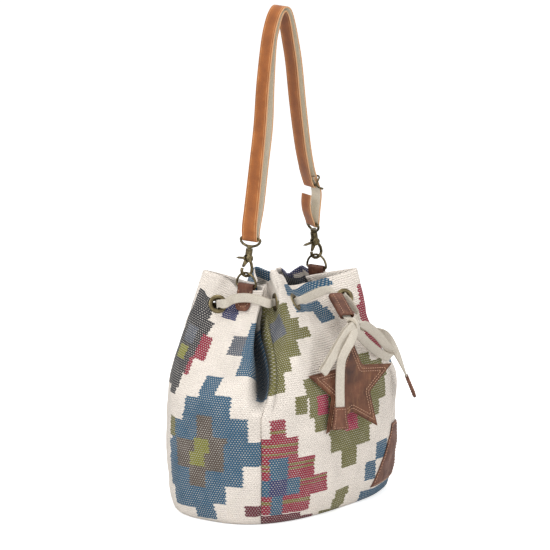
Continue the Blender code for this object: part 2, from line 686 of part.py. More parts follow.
class Hook:
    """A trigger snap hook clipped on a D-ring, with its swivel eye."""

    def __init__(self, name, side):
        """Set up the hook's own frame: h sideways, n through the hook, w up along it."""
        self.name, self.side = name, side
        self.zero = np.array([ring_bar_x(side), 0, RING_ARC_HEIGHT + RING_ARC])
        top = np.array([side * EYE_X, 0, EYE_HEIGHT])
        self.w = (top - self.zero) / np.linalg.norm(top - self.zero)
        h = np.array([math.cos(HOOK_TURN), -math.sin(HOOK_TURN), 0])
        h = h - self.w * (h @ self.w)
        self.h = h / np.linalg.norm(h)
        self.n = np.cross(self.w, self.h)
        self.bottom = -(RING_WIRE + CLAW_CLEARANCE + CLAW_WIRE)

    def at(self, h, w, n=0.0):
        """A point of the hook's frame in the bag's frame, in millimetres."""
        return self.zero + self.h * h + self.w * w + self.n * n

    def matrix(self, axis, h=0.0, w=0.0, n=0.0):
        """A matrix at a point of the hook whose Z axis runs along one of its axes."""
        along = Vector(getattr(self, axis))
        other = Vector(self.n if axis != "n" else self.w)
        side = other.cross(along).normalized()
        turn = Matrix((side, along.cross(side), along)).transposed().to_4x4()
        return Matrix.Translation(Vector(self.at(h, w, n)) * MM) @ turn

    def plate(self, name, outline, thickness, material=BRASS, collection=PARTS, shift=0.0):
        """A flat outline of (h, w) points, thick along n."""
        rings = [[self.at(h, w, shift + side * thickness / 2) for h, w in outline] for side in (-1, 1)]
        return loft(name, rings, material, collection)

    def make_body(self):
        """The cast body: claw, boss with a slot for the gate, and barrel for the swivel post."""
        rise = self.bottom + CLAW_RADIUS
        line = []
        for turn in (160, 185, 210, 240, 270, 300, 330, 355):
            angle = math.radians(turn)
            line.append(self.at(CLAW_RADIUS * math.cos(angle), rise + CLAW_RADIUS * math.sin(angle)))
        line += [self.at(6.6, rise + 4.0), self.at(4.9, rise + 8.5), self.at(2.6, BOSS_HEIGHT - 3.0)]
        body = tube(f"{self.name}_hook_body", line, CLAW_WIRE, BRASS)
        boss = cylinder(f"{self.name}_boss", self.matrix("n", 0, BOSS_HEIGHT), BOSS_RADIUS,
                        -BOSS_WIDTH / 2, BOSS_WIDTH / 2, 16)
        barrel = cylinder(f"{self.name}_barrel", self.matrix("w"), BARREL_RADIUS, BOSS_HEIGHT,
                          BARREL_HIGH, 16)
        boolean(body, boss, "UNION")
        boolean(body, barrel, "UNION")
        slot = self.plate(f"{self.name}_slot", ((-9.5, BOSS_HEIGHT - 9.0), (3.2, BOSS_HEIGHT - 9.0),
                                               (3.2, BOSS_HEIGHT + 3.6), (-9.5, BOSS_HEIGHT + 3.6)),
                          SLOT_WIDTH, None, CUTTERS)
        boolean(body, slot, "DIFFERENCE")
        bore = cylinder(f"{self.name}_bore", self.matrix("w"), POST_RADIUS + GAP, BARREL_LOW - 1,
                        BARREL_HIGH + 2, 12)
        boolean(body, bore, "DIFFERENCE")
        well = cylinder(f"{self.name}_well", self.matrix("w"), POST_HEAD + GAP, BARREL_LOW - 1.0,
                        BARREL_LOW + 2.6, 12)
        boolean(body, well, "DIFFERENCE")
        pin_hole = cylinder(f"{self.name}_pin_hole", self.matrix("n", 0, BOSS_HEIGHT), PIN_RADIUS + 0.2,
                            -BOSS_WIDTH, BOSS_WIDTH, 12)
        boolean(body, pin_hole, "DIFFERENCE")

    def make_gate(self):
        """The sprung gate with its thumb lever, turning on the pin."""
        low = self.bottom + CLAW_RADIUS + 3.2
        outline = ((-1.0, BOSS_HEIGHT + 2.4), (1.6, BOSS_HEIGHT + 1.6), (2.2, BOSS_HEIGHT - 1.0),
                   (0.6, BOSS_HEIGHT - 3.0), (-2.6, low + 3.4), (-5.2, low), (-7.6, low + 0.4),
                   (-6.4, low + 5.2), (-5.2, BOSS_HEIGHT - 1.6), (-13.6, BOSS_HEIGHT - 1.6),
                   (-17.2, BOSS_HEIGHT - 0.4), (-13.6, BOSS_HEIGHT + 1.0), (-4.6, BOSS_HEIGHT + 1.4))
        shift = -(SLOT_WIDTH - GATE_THICKNESS) / 2 + GAP
        gate = self.plate(f"{self.name}_gate", outline, GATE_THICKNESS, shift=shift)
        hole = cylinder(f"{self.name}_gate_hole", self.matrix("n", 0, BOSS_HEIGHT), PIN_RADIUS + 0.2,
                        -BOSS_WIDTH, BOSS_WIDTH, 12)
        boolean(gate, hole, "DIFFERENCE")
        cylinder(f"{self.name}_gate_pin", self.matrix("n", 0, BOSS_HEIGHT), PIN_RADIUS,
                 -BOSS_WIDTH / 2, BOSS_WIDTH / 2, 12, BRASS, PARTS)
        start = shift + GATE_THICKNESS / 2 + GAP + 0.3
        line = []
        for i in range(17):
            turn = 2 * math.pi * i / 8
            along = start + 1.1 * i / 16
            line.append(self.at(1.7 * math.cos(turn), BOSS_HEIGHT + 1.7 * math.sin(turn), along))
        tube(f"{self.name}_gate_spring", line, 0.25, BRASS, resolution=0)

    def make_eye(self):
        """The swivel eye: a D of wire on a collar, with a post riveted inside the barrel."""
        arc = EYE_HALF_WIDTH
        along = self.bar_along()
        top = EYE_LOW + 9.6

        def spot(y, w):
            return self.zero + self.w * w + along * y

        points = [spot(-arc + 2.0, top), spot(arc - 2.0, top), spot(arc - 0.5, top - 0.7),
                  spot(arc, top - 2.2)]
        for i in range(1, 8):
            turn = math.pi * i / 8
            points.append(spot(arc * math.cos(turn), top - 2.2 - (top - 2.2 - EYE_LOW) * math.sin(turn)))
        points += [spot(-arc, top - 2.2), spot(-arc + 0.5, top - 0.7)]
        eye = tube(f"{self.name}_swivel_eye", points, EYE_WIRE, BRASS, cyclic=True)
        collar = cylinder(f"{self.name}_collar", self.matrix("w"), 3.6, BARREL_HIGH + GAP, EYE_LOW + 1.8, 12)
        post = cylinder(f"{self.name}_post", self.matrix("w"), POST_RADIUS, BARREL_LOW + 1.0, EYE_LOW, 12)
        head = cylinder(f"{self.name}_post_head", self.matrix("w"), POST_HEAD, BARREL_LOW - 0.6,
                        BARREL_LOW + 2.2, 12)
        boolean(eye, collar, "UNION")
        boolean(eye, post, "UNION")
        boolean(eye, head, "UNION")

    def bar_along(self):
        """The direction of the eye's upper bar."""
        _, along = facing(EYE_TURNS[self.name])
        along = along - self.w * (along @ self.w)
        return along / np.linalg.norm(along)

    def eye_bar(self):
        """The centre of the eye's upper bar, where the strap turns."""
        return self.zero + self.w * (EYE_LOW + 9.6)


def facing(turn):
    """The directions through and across a strap that is turned about the vertical."""
    c, s = math.cos(turn), math.sin(turn)
    return np.array([c, -s, 0]), np.array([s, c, 0])


def slider_point(along, out, across=0.0):
    """A point of the slider: along the strap leg, out of the strap, and across it."""
    c, s = math.cos(SLIDER_LEAN), math.sin(SLIDER_LEAN)
    through, side = facing(SLIDER_TURN)
    x, z = SLIDER_CENTRE
    return (np.array([x, 0, z + along * c + out * s]) + through * (out * c - along * s) + side * across)


def make_strap(left, right):
    """One strap: sewn on the slider, round the left eye, through the slider, round the right eye."""
    half = STRAP_THICKNESS / 2
    turns = np.array(STRAP_TURNS)
    path, across = [], []

    def leg(points):
        for x, z in points:
            path.append(np.array([x, 0, z]))
            across.append(facing(math.radians(np.interp(x, turns[:, 0], turns[:, 1])))[1])

    def at_slider(along, out):
        path.append(slider_point(along, out))
        across.append(facing(SLIDER_TURN)[1])

    def at_eye(hook, out, rise):
        through, _ = facing(EYE_TURNS[hook.name])
        side = hook.bar_along()
        up = np.cross(through, side)
        near = min(rise, 4.0)
        path.append(hook.eye_bar() + through * out + up * near + np.array([0, 0, rise - near]))
        across.append(side)

    wrap = SLIDER_WIRE + GAP + half
    at_slider(9.0, wrap - 0.2)
    at_slider(4.0, wrap)
    for turn in (0, -45, -90, -135, -180):
        angle = math.radians(turn)
        at_slider(wrap * math.sin(angle), wrap * math.cos(angle))
    at_slider(9.0, -wrap - 0.2)
    leg(STRAP_INNER)
    wrap = EYE_WIRE + GAP + half
    for turn in (15, -25, -65, -105, -145, -185):
        angle = math.radians(turn)
        at_eye(left, wrap * math.cos(angle), wrap * math.sin(angle))
    leg(STRAP_OUTER)
    over = SLIDER_WIRE + GAP + STRAP_THICKNESS + GAP + half + 0.1
    at_slider(12.0, over + 0.2)
    at_slider(0.0, over)
    at_slider(-13.0, over - 0.2)
    at_eye(right, wrap + 1.0, 14.0)
    for turn in (10, -30, -70, -110, -150, -190):
        angle = math.radians(turn)
        at_eye(right, wrap * math.cos(angle), wrap * math.sin(angle))
    at_eye(right, -7.5, 13.0)
    at_eye(right, -9.0, 24.0)
    at_eye(right, -8.2, 35.0)
    rings = ribbon_rings(path, across, STRAP_WIDTH, STRAP_THICKNESS, soft=False)
    loft("shoulder_strap", rings, TAN)


def make_slider():
    """A bowed slider: two rails outside the running strap and a bar that the strap's end is sewn round."""
    rail = SLIDER_WIRE + GAP + STRAP_THICKNESS + GAP + STRAP_THICKNESS + GAP + SLIDER_WIRE + 0.5
    wide, high = SLIDER_HALF_WIDTH, SLIDER_HALF_HEIGHT
    points = []
    for end in (1, -1):
        points += [slider_point(end * high, rail, end * (wide - 2.5) * s) for s in (-1, 1)]
        points += [slider_point(end * (high - 1.2), rail - 0.8, end * (wide - 0.4)),
                   slider_point(end * high * 0.45, rail * 0.3, end * wide)]
        points.append(slider_point(0.0, 0.0, end * wide))
        points += [slider_point(-end * high * 0.45, rail * 0.3, end * wide),
                   slider_point(-end * (high - 1.2), rail - 0.8, end * (wide - 0.4))]
    slider = tube("strap_slider", points, SLIDER_WIRE, BRASS, cyclic=True)
    across = Matrix.Rotation(-SLIDER_TURN, 4, "Z") @ Matrix.Rotation(-math.pi / 2, 4, "X")
    centre = Matrix.Translation(Vector(slider_point(0, 0)) * MM)
    bar = cylinder("slider_bar", centre @ across, SLIDER_WIRE, -wide, wide, 12)
    boolean(slider, bar, "UNION")


def on_knot(direction, gap):
    """A point in a direction from the middle of the knot, at a gap from its skin."""
    ahead = np.array(direction, float)
    ahead = ahead / np.linalg.norm(ahead)
    reach = 1 / np.linalg.norm(ahead / np.array(KNOT_SIZE))
    return np.array(KNOT_CENTRE) + ahead * (reach + gap)


def keeper_axes():
    """The keeper's two ends, and the directions along it, across it and towards its lower wall."""
    top, foot = np.array(KEEPER_TOP), np.array(KEEPER_FOOT)
    ahead = (foot - top) / np.linalg.norm(foot - top)
    side = np.cross(ahead, [0, -1, 0])
    side = side / np.linalg.norm(side)
    return top, foot, ahead, side, np.cross(ahead, side)


def lace_width(point):
    """The lace's width at a point: drawn together where it enters the knot."""
    away = np.linalg.norm(point - np.array(KNOT_CENTRE))
    return float(np.interp(away, (9.0, 26.0), (LACE_IN_KNOT, LACE_WIDTH)))


def make_drawstring(cloth):
    """The flat lace through the eight eyelets, from the keeper round the neck to the knot."""
    e1, e2, e3, e4, e5, e6, e7, e8 = [(np.array(c), np.array(n)) for c, n in cloth.eyelets]
    lift = (0, 0, 1.0)

    def out(eyelet, distance):
        return eyelet[0] + eyelet[1] * distance

    tab = TAB_X + TAB_LEAN * (RIM_AT_TAB - 245.0) + TAB_THICKNESS + LACE_THICKNESS
    top, foot, ahead, side, lower = keeper_axes()
    level = tuple(-side)
    rest = lower * (KEEPER_DEPTH / 2 - KEEPER_WALL - LACE_THICKNESS / 2 - 1.5 * GAP)
    middle = (top + foot) / 2 + rest
    stops = [(on_knot((0.3, 0.72, 0.62), 1.0), level), (foot + rest, level),
             (foot + rest - ahead * 4.0, level),
             (middle, level), (top + rest + ahead * 2.0, level), (top + rest - ahead * 5.0, level),
             (top + np.array([-7.0, 9.0, 6.0]), (0.6, 0.3, 0.75)),
             (out(e3, 8) + np.array([6.0, 0, -0.5]), lift), (out(e3, 3), lift), (out(e3, -5), lift),
             (out(e2, -5), lift), (out(e2, 3), lift), (out(e2, 7) + np.array([-5.0, -3.0, 0]), lift),
             (np.array([-tab - 2.0, -24.0, 249.0]), lift), (np.array([-tab - 5.0, -10.0, 247.0]), lift),
             (np.array([-tab - 7.0, 6.0, 247.0]), lift), (out(e1, 8) + np.array([1.0, -9.0, 0]), lift),
             (out(e1, 3), lift), (out(e1, -5), lift), (out(e8, -5), lift), (out(e8, 3), lift),
             (out(e8, 6) + np.array([9.0, 2.0, -1.0]), lift), (np.array([-16.0, 66.0, 241.0]), lift),
             (np.array([4.0, 70.5, 240.0]), lift), (np.array([18.0, 70.0, 239.0]), lift),
             (out(e7, 9) + np.array([-10.0, 0, 0]), lift), (out(e7, 3), lift), (out(e7, -5), lift),
             (out(e6, -5), lift), (out(e6, 3), lift), (out(e6, 7) + np.array([4.0, -6.0, 1.0]), lift),
             (np.array([tab + 9.0, 18.0, 243.0]), lift), (np.array([tab + 6.0, 2.0, 243.0]), lift),
             (np.array([tab + 6.0, -14.0, 243.0]), lift), (np.array([tab + 5.0, -27.0, 243.0]), lift),
             (out(e5, 8) + np.array([2.0, 7.0, 0]), lift), (out(e5, 3), lift), (out(e5, -5), lift),
             (out(e4, -5), lift), (out(e4, 3), lift), (out(e4, 7) + np.array([-5.0, -2.0, -1.0]), lift),
             (np.array([32.0, -88.0, 227.0]), (-0.4, -0.2, 0.9)),
             (on_knot((0.85, 0.35, 0.45), 1.0), (-0.3, 0.0, 0.95))]
    line = smooth_line([p for p, _ in stops], 2)
    across = smooth_line([a for _, a in stops], 2)
    width = []
    for point in line:
        near = min(np.linalg.norm(point - eyelet[0]) for eyelet in (e1, e2, e3, e4, e5, e6, e7, e8))
        hole = float(np.interp(near, (5.5, 11.0), (LACE_IN_EYELET, LACE_WIDTH)))
        turn = float(np.interp(np.linalg.norm(point - top), (4.0, 20.0), (7.6, LACE_WIDTH)))
        width.append(min(lace_width(point), hole, turn))
    loft("drawstring", ribbon_rings(line, across, width, LACE_THICKNESS), LACE)


def make_keeper():
    """A leather sleeve round the lace in front of the right hand eyelet."""
    top, foot, ahead, side, up = keeper_axes()
    rings = []
    for point, shrink in ((top, 0.0), (foot, 0.0), (foot, KEEPER_WALL), (top, KEEPER_WALL)):
        wide, deep = KEEPER_WIDTH / 2 - shrink, KEEPER_DEPTH / 2 - shrink
        outline = ((-wide, 0), (-wide + deep, -deep), (wide - deep, -deep), (wide, 0),
                   (wide - deep, deep), (-wide + deep, deep))
        rings.append([point + side * a + up * b for a, b in outline])
    loft("cord_keeper", rings, BROWN, ends="joined")


def make_bow():
    """The knot, two loops and two tails of the bow, with a leather tip on each tail."""
    knot = np.array(KNOT_CENTRE)
    shape = bmesh.new()
    bmesh.ops.create_icosphere(shape, subdivisions=2, radius=1.0)
    bmesh.ops.scale(shape, verts=shape.verts, vec=Vector(KNOT_SIZE) * MM)
    bmesh.ops.translate(shape, verts=shape.verts, vec=Vector(knot) * MM)
    mesh = bpy.data.meshes.new("bow_knot")
    shape.to_mesh(mesh)
    shape.free()
    add_object("bow_knot", mesh, LACE)

    def lace(name, stops):
        line = smooth_line([p for p, _ in stops], 3)
        lay = smooth_line([a for _, a in stops], 3)
        loft(name, ribbon_rings(line, lay, [lace_width(p) for p in line], LACE_THICKNESS), LACE)
        return line

    lay = (0.62, -0.35, -0.7)
    points = [on_knot((-0.92, -0.1, 0.2), 1.6), (-24.0, -107.0, 213.5), (-38.6, -105.6, 199.0),
              (-50.0, -102.8, 184.5), (-56.0, -101.0, 177.0), (-58.0, -102.2, 174.6), (-56.4, -104.2, 176.6),
              (-49.2, -106.0, 185.4), (-38.0, -108.8, 200.4), (-24.0, -110.6, 215.0),
              on_knot((-0.75, -0.6, 0.4), 1.4)]
    lace("bow_loop_left", [(p, lay) for p in points])
    lay = (0.3, -0.55, 0.78)
    points = [on_knot((0.9, -0.35, 0.12), 1.7), (19.0, -107.5, 218.5), (49.0, -103.5, 201.5),
              (75.0, -99.5, 181.5), (85.0, -99.5, 172.5), (79.0, -99.5, 168.8), (62.0, -98.5, 176.0),
              (37.0, -101.0, 190.5), (16.0, -103.5, 205.0), on_knot((0.55, -0.2, -0.8), 1.0)]
    lace("bow_loop_right", [(p, lay) for p in points])
    face, edge = (0.8, -0.6, 0.0), (0.72, 0.62, 0.1)
    line = lace("bow_tail_front",
                [(on_knot((-0.35, -0.9, -0.3), 1.2), (0.62, -0.4, -0.65)),
                 ((-24.0, -118.0, 208.5), (0.66, -0.5, -0.5)), ((-33.5, -115.5, 195.5), (0.76, -0.6, -0.2)),
                 ((-36.0, -112.5, 183.5), face), ((-36.5, -111.5, 160.0), face),
                 ((-37.4, -112.5, 131.4), face)])
    make_tip("tail_tip_front", line, face)
    line = lace("bow_tail_back",
                [(on_knot((0.85, 0.4, -0.35), 0.9), (0.2, -0.9, 0.3)),
                 ((30.0, -95.0, 210.0), (0.2, -0.9, 0.3)),
                 ((55.0, -93.5, 205.5), (0.1, -0.9, 0.4)), ((80.0, -92.5, 194.0), (0.4, -0.6, 0.6)),
                 ((97.0, -97.0, 170.5), (0.8, 0.1, 0.5)), ((106.5, -104.5, 142.5), edge)])
    make_tip("tail_tip_back", line, edge)


def make_tip(name, line, across):
    """A leather tip folded round the end of a tail."""
    ahead = line[-1] - line[-2]
    ahead = ahead / np.linalg.norm(ahead)
    start = line[-1] + ahead * GAP
    centre = [start + ahead * TIP_LENGTH * i for i in (0, 0.5, 1.0)]
    width = [LACE_WIDTH + 3.0, LACE_WIDTH + 5.0, TIP_WIDTH]
    loft(name, ribbon_rings(centre, [across] * 3, width, TIP_THICKNESS, soft=False), BROWN)


class Star:
    """A five-pointed charm of two layers of leather that hangs from the knot."""

    def __init__(self):
        """Set up the plane of the star: a sideways, b up, n out of its face."""
        self.centre = np.array(STAR_CENTRE)
        side = np.array([math.cos(STAR_TURN), -math.sin(STAR_TURN), 0])
        flat = np.array([-math.sin(STAR_TURN), -math.cos(STAR_TURN), 0])
        self.n = flat * math.cos(STAR_LEAN) + np.array([0, 0, math.sin(STAR_LEAN)])
        up = np.cross(self.n, side) * -1
        up = up if up[2] > 0 else -up
        self.a = side * math.cos(STAR_ROLL) - up * math.sin(STAR_ROLL)
        self.b = up * math.cos(STAR_ROLL) + side * math.sin(STAR_ROLL)
        self.hole_height = STAR_RADIUS - 11.0

    def at(self, a, b, n):
        """A point of the star's frame in the bag's frame."""
        return self.centre + self.a * a + self.b * b + self.n * n

    def layer(self, name, radius, low, high):
        """One layer, with a hole in its upper point for the hanger."""
        outline = []
        inner = radius * 0.46
        for i in range(10):
            reach = radius if i % 2 == 0 else inner
            turn = math.pi / 2 + math.pi * i / 5
            outline.append((reach * math.cos(turn), reach * math.sin(turn)))
        rings = [[self.at(a, b, n) for a, b in outline] for n in (low, high)]
        made = loft(name, rings, BROWN)
        place = frame_at(self.at(0, self.hole_height, 0), self.n)
        hole = cylinder(name + "_hole", place, STAR_HOLE, -6, 6, 12)
        boolean(made, hole, "DIFFERENCE")

    def make(self):
        """Backing, face layer and the cord that they hang on."""
        self.layer("star_backing", STAR_RADIUS, -STAR_THICKNESS, 0.0)
        self.layer("star_face", STAR_RADIUS - STAR_MARGIN, GAP, GAP + STAR_THICKNESS)
        front, back = GAP + STAR_THICKNESS + HANGER_RADIUS + 0.4, -STAR_THICKNESS - HANGER_RADIUS - 0.4
        low = self.hole_height
        line = [on_knot((0.0, -0.35, -0.95), 1.3), self.at(5.0, low + 9.0, front + 0.4),
                self.at(0.6, low + 3.5, front), self.at(0, low + 0.4, front - 0.8), self.at(0, low, 0.15),
                self.at(0, low + 0.4, back + 0.8), self.at(0.6, low + 3.5, back),
                self.at(5.0, low + 9.0, back - 0.4), on_knot((-0.05, 0.35, -0.95), 1.3)]
        tube("star_hanger", line, HANGER_RADIUS, LACE)


def make_patch(cloth):
    """A leather patch sewn on the front panel low down by the right seam."""
    rows = []
    low, high = PATCH_HEIGHTS
    for depth in (GAP + PATCH_THICKNESS, GAP):
        grid = []
        for i in range(7):
            left = PATCH_COLUMNS[0] + PATCH_SLANT * i / 6
            line = []
            for j in range(13):
                column = left + (PATCH_COLUMNS[1] - left) * j / 12
                point, normal = cloth.spot(column, low + (high - low) * i / 6)
                line.append(point + normal * (depth + 0.35))
            grid.append(line)
        rows.append(np.array(grid))
    quilt("side_patch", rows[0], rows[1], BROWN)


def build_bag():
    """Make every piece of the bag."""
    cloth = Cloth()
    make_panels(cloth)
    make_base(cloth)
    make_lining(cloth)
    make_eyelets(cloth)
    make_patch(cloth)
    hooks = {}
    for _, _, side in TAB_COLUMNS:
        name = "left" if side < 0 else "right"
        make_tab(f"{name}_ring_tab", side)
        make_d_ring(f"{name}_d_ring", side)
        hook = Hook(name, side)
        hook.make_body()
        hook.make_gate()
        hook.make_eye()
        hooks[name] = hook
    make_strap(hooks["left"], hooks["right"])
    make_slider()
    make_drawstring(cloth)
    make_keeper()
    make_bow()
    Star().make()


build_bag()
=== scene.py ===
"""Looks of a drawstring bucket bag: patterned woven cloth, leather, aged brass and flat lace.

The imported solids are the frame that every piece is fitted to. The classes hold their sizes in
millimetres, in the frame's own axes: +Z up, +X along the bag, and the bow on the -Y side.
"""

import logging
import math
from dataclasses import dataclass, field
from enum import Enum
from typing import Callable, Iterable, Optional, Sequence

import bmesh
import bpy
import numpy as np
from mathutils import Matrix, Vector, noise

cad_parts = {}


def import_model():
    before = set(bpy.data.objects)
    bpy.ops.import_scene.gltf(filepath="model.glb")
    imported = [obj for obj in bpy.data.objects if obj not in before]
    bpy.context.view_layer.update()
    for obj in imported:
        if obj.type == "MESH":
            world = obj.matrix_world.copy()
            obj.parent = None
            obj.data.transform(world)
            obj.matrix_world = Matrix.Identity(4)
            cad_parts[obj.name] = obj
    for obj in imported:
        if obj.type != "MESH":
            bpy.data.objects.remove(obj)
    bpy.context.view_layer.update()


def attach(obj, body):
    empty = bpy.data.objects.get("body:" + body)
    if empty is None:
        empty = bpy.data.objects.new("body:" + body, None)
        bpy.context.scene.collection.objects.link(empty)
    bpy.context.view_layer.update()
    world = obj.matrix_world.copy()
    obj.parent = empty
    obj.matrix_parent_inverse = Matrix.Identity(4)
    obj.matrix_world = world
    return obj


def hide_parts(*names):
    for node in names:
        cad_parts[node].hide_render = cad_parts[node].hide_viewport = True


LOG = logging.getLogger("bucket_bag")
MM = 0.001
Array = np.ndarray
Point = tuple[float, float, float]
# The middle of the star's back, in millimetres: the star hangs there and the cloth leaves it room.
STAR_MIDDLE: Point = (-12.4, -109.8, 151.0)
# The ring tabs: how far out they are, how they lean, their width, and the rim's height at them.
TAB_X, TAB_LEAN, TAB_WIDE, TAB_RIM = 70.0, 0.3, 21.6, 263.0


# ---------------------------------------------------------------- small tools


def linear(code: str) -> tuple[float, float, float, float]:
    """Turn an sRGB hex colour into linear RGBA.

    Args:
        code: The colour, such as "#4E7A9C".

    Returns:
        Red, green, blue and an alpha of one.
    """
    parts = [int(code[i:i + 2], 16) / 255 for i in (1, 3, 5)]
    red, green, blue = (c / 12.92 if c <= 0.04045 else ((c + 0.055) / 1.055) ** 2.4 for c in parts)
    return red, green, blue, 1.0


def unit(vector: Iterable[float]) -> Array:
    """Give a vector a length of one."""
    made = np.array(vector, float)
    return made / np.linalg.norm(made)


def units(rows: Array) -> Array:
    """Give the vector in every row a length of one."""
    return rows / np.linalg.norm(rows, axis=-1, keepdims=True)


def between(a: Array, b: Array, c: Array, d: Array, t: float) -> Array:
    """A place on the smooth curve from b to c that also follows a and d."""
    return 0.5 * (2 * b + (c - a) * t + (2 * a - 5 * b + 4 * c - d) * t * t + (3 * b - a - 3 * c + d) * t ** 3)


def sloped(a: Array, rise_a: Array, b: Array, rise_b: Array, t: float) -> Array:
    """A place on the curve from a to b that leaves and arrives with the given rises."""
    return (a * (1 + 2 * t) * (1 - t) ** 2 + rise_a * t * (1 - t) ** 2
            + b * t * t * (3 - 2 * t) + rise_b * t * t * (t - 1))


def through(points: Sequence[Iterable[float]], steps: int) -> Array:
    """Run a smooth curve through points.

    Args:
        points: The points, or any rows of numbers.
        steps: How many steps each span gets.

    Returns:
        The curve's points, the given ones among them.
    """
    knots = [np.array(p, float) for p in points]
    knots = [2 * knots[0] - knots[1]] + knots + [2 * knots[-1] - knots[-2]]
    line = []
    for a, b, c, d in zip(knots, knots[1:], knots[2:], knots[3:]):
        line += [between(a, b, c, d, n / steps) for n in range(steps)]
    line.append(knots[-2])
    return np.array(line)


def travelled(line: Array) -> Array:
    """Measure the way along a line up to each of its points."""
    return np.concatenate([[0.0], np.cumsum(np.linalg.norm(np.diff(line, axis=0), axis=1))])


def evenly(line: Array, pitch: float, *others: Array) -> list[Array]:
    """Space a line's points evenly.

    Args:
        line: The line's points.
        pitch: The distance wanted between points.
        others: Rows of numbers that go with the points.

    Returns:
        The new points, then the other rows at the same places.
    """
    way = travelled(line)
    count = max(3, int(round(way[-1] / pitch)) + 1)
    places = np.linspace(0, way[-1], count)
    return [np.stack([np.interp(places, way, rows[:, i]) for i in range(rows.shape[1])], axis=1)
            for rows in (line, *others)]


def skin(count: int, total: int, joined: bool = False, base: int = 0) -> list[tuple[int, ...]]:
    """Give the faces between closed rows of points, with ends that are capped or joined.

    Args:
        count: How many points each row has.
        total: How many rows there are.
        joined: Whether the last row meets the first.
        base: The number of the first point.

    Returns:
        The faces, as rows of point numbers.
    """
    faces: list[tuple[int, ...]] = []
    for i in range(total if joined else total - 1):
        low, high = base + i * count, base + (i + 1) % total * count
        faces += [(low + j, low + (j + 1) % count, high + (j + 1) % count, high + j) for j in range(count)]
    if not joined:
        faces += [tuple(range(n, n + count)) for n in (base, base + (total - 1) * count)]
    return faces


def mark(piece: bpy.types.Object, name: str, values: Array) -> None:
    """Keep a number for each point of a piece, for its material to read."""
    layer = piece.data.attributes.new(name, "FLOAT", "POINT")
    layer.data.foreach_set("value", values.astype(np.float32))


def linked(name: str, data: bpy.types.ID) -> bpy.types.Object:
    """Make an object of its data, in the scene."""
    made = bpy.data.objects.new(name, data)
    bpy.context.scene.collection.objects.link(made)
    return made


def mesh_object(name: str, points: Array, faces: list[tuple[int, ...]],
                uvs: Optional[Array] = None) -> bpy.types.Object:
    """Make an object of points and faces, turned outwards and shaded smooth.

    Args:
        name: The object's name.
        points: Its points, in millimetres.
        faces: Its faces, as rows of point numbers.
        uvs: A pair of numbers for each point, kept as the map "cloth", in millimetres.

    Returns:
        The object, at the origin.
    """
    mesh = bpy.data.meshes.new(name)
    mesh.from_pydata((np.asarray(points) * MM).tolist(), [], faces)
    if uvs is not None:
        layer = mesh.uv_layers.new(name="cloth")
        corners = np.zeros(len(mesh.loops), dtype=np.int32)
        mesh.loops.foreach_get("vertex_index", corners)
        layer.data.foreach_set("uv", np.asarray(uvs, float)[corners].astype(np.float32).ravel())
    shape = bmesh.new()
    shape.from_mesh(mesh)
    bmesh.ops.recalc_face_normals(shape, faces=shape.faces)
    shape.to_mesh(mesh)
    shape.free()
    mesh.polygons.foreach_set("use_smooth", [True] * len(mesh.polygons))
    return linked(name, mesh)


def only(piece: bpy.types.Object) -> bpy.types.Object:
    """Select one piece and nothing else, and make it active."""
    bpy.ops.object.select_all(action="DESELECT")
    piece.select_set(True)
    bpy.context.view_layer.objects.active = piece
    return piece


def apply_all(piece: bpy.types.Object) -> bpy.types.Object:
    """Apply every modifier of a piece, in order."""
    only(piece)
    for change in list(piece.modifiers):
        bpy.ops.object.modifier_apply(modifier=change.name)
    return piece


def keep_sharp(piece: bpy.types.Object, degrees: float) -> bpy.types.Object:
    """Shade a piece smooth, except over edges that are sharper than an angle."""
    only(piece)
    bpy.ops.object.shade_smooth_by_angle(angle=math.radians(degrees))
    return piece


def rounded(wide: float, thick: float, count: int, squareness: float = 6.0) -> Array:
    """Draw a rounded rectangle as a section.

    Args:
        wide: Its whole width.
        thick: Its whole thickness.
        count: How many points it has.
        squareness: Two is an ellipse, and more is squarer.

    Returns:
        Rows of (across, out), once round.
    """
    turns = np.linspace(0, 2 * math.pi, count, endpoint=False)
    c, s = np.cos(turns), np.sin(turns)
    power = 2 / squareness
    return np.stack([np.sign(c) * np.abs(c) ** power * wide / 2, np.sign(s) * np.abs(s) ** power * thick / 2], 1)


def ribbon(name: str, line: Array, across: Array, wide: Sequence[float], thick: float, count: int = 24,
           squareness: float = 6.0) -> bpy.types.Object:
    """Lay a flat band along a line.

    Args:
        name: The object's name.
        line: The middle of the band, in millimetres.
        across: The direction of its width at each point.
        wide: Its width at each point.
        thick: Its thickness.
        count: How many points its section has.
        squareness: How square its section is.

    Returns:
        The band, with a map of (across, along) in millimetres.
    """
    ahead = units(np.gradient(line, axis=0))
    side = units(across - ahead * np.sum(across * ahead, axis=1, keepdims=True))
    up = np.cross(ahead, side)
    way = travelled(line)
    points, uvs = [], []
    for i in range(len(line)):
        section = rounded(wide[i], thick, count, squareness)
        points.append(line[i] + section[:, :1] * side[i] + section[:, 1:] * up[i])
        uvs.append(np.stack([section[:, 0], np.full(count, way[i])], 1))
    return mesh_object(name, np.concatenate(points), skin(count, len(line)), np.concatenate(uvs))


def pipe(name: str, points: Array, radius: float) -> bpy.types.Object:
    """Bend a round wire along points.

    Args:
        name: The object's name.
        points: The points that it follows, in millimetres.
        radius: The wire's radius.

    Returns:
        The wire as a mesh with closed ends.
    """
    data = bpy.data.curves.new(name + "_line", "CURVE")
    data.dimensions = "3D"
    data.bevel_depth = radius * MM
    data.bevel_resolution = 5
    data.use_fill_caps = True
    spline = data.splines.new("POLY")
    spline.points.add(len(points) - 1)
    spline.points.foreach_set("co", np.c_[points * MM, np.ones(len(points))].ravel())
    only(linked(name, data))
    bpy.ops.object.convert(target="MESH")
    made = bpy.context.view_layer.objects.active
    bpy.ops.object.shade_smooth()
    return made


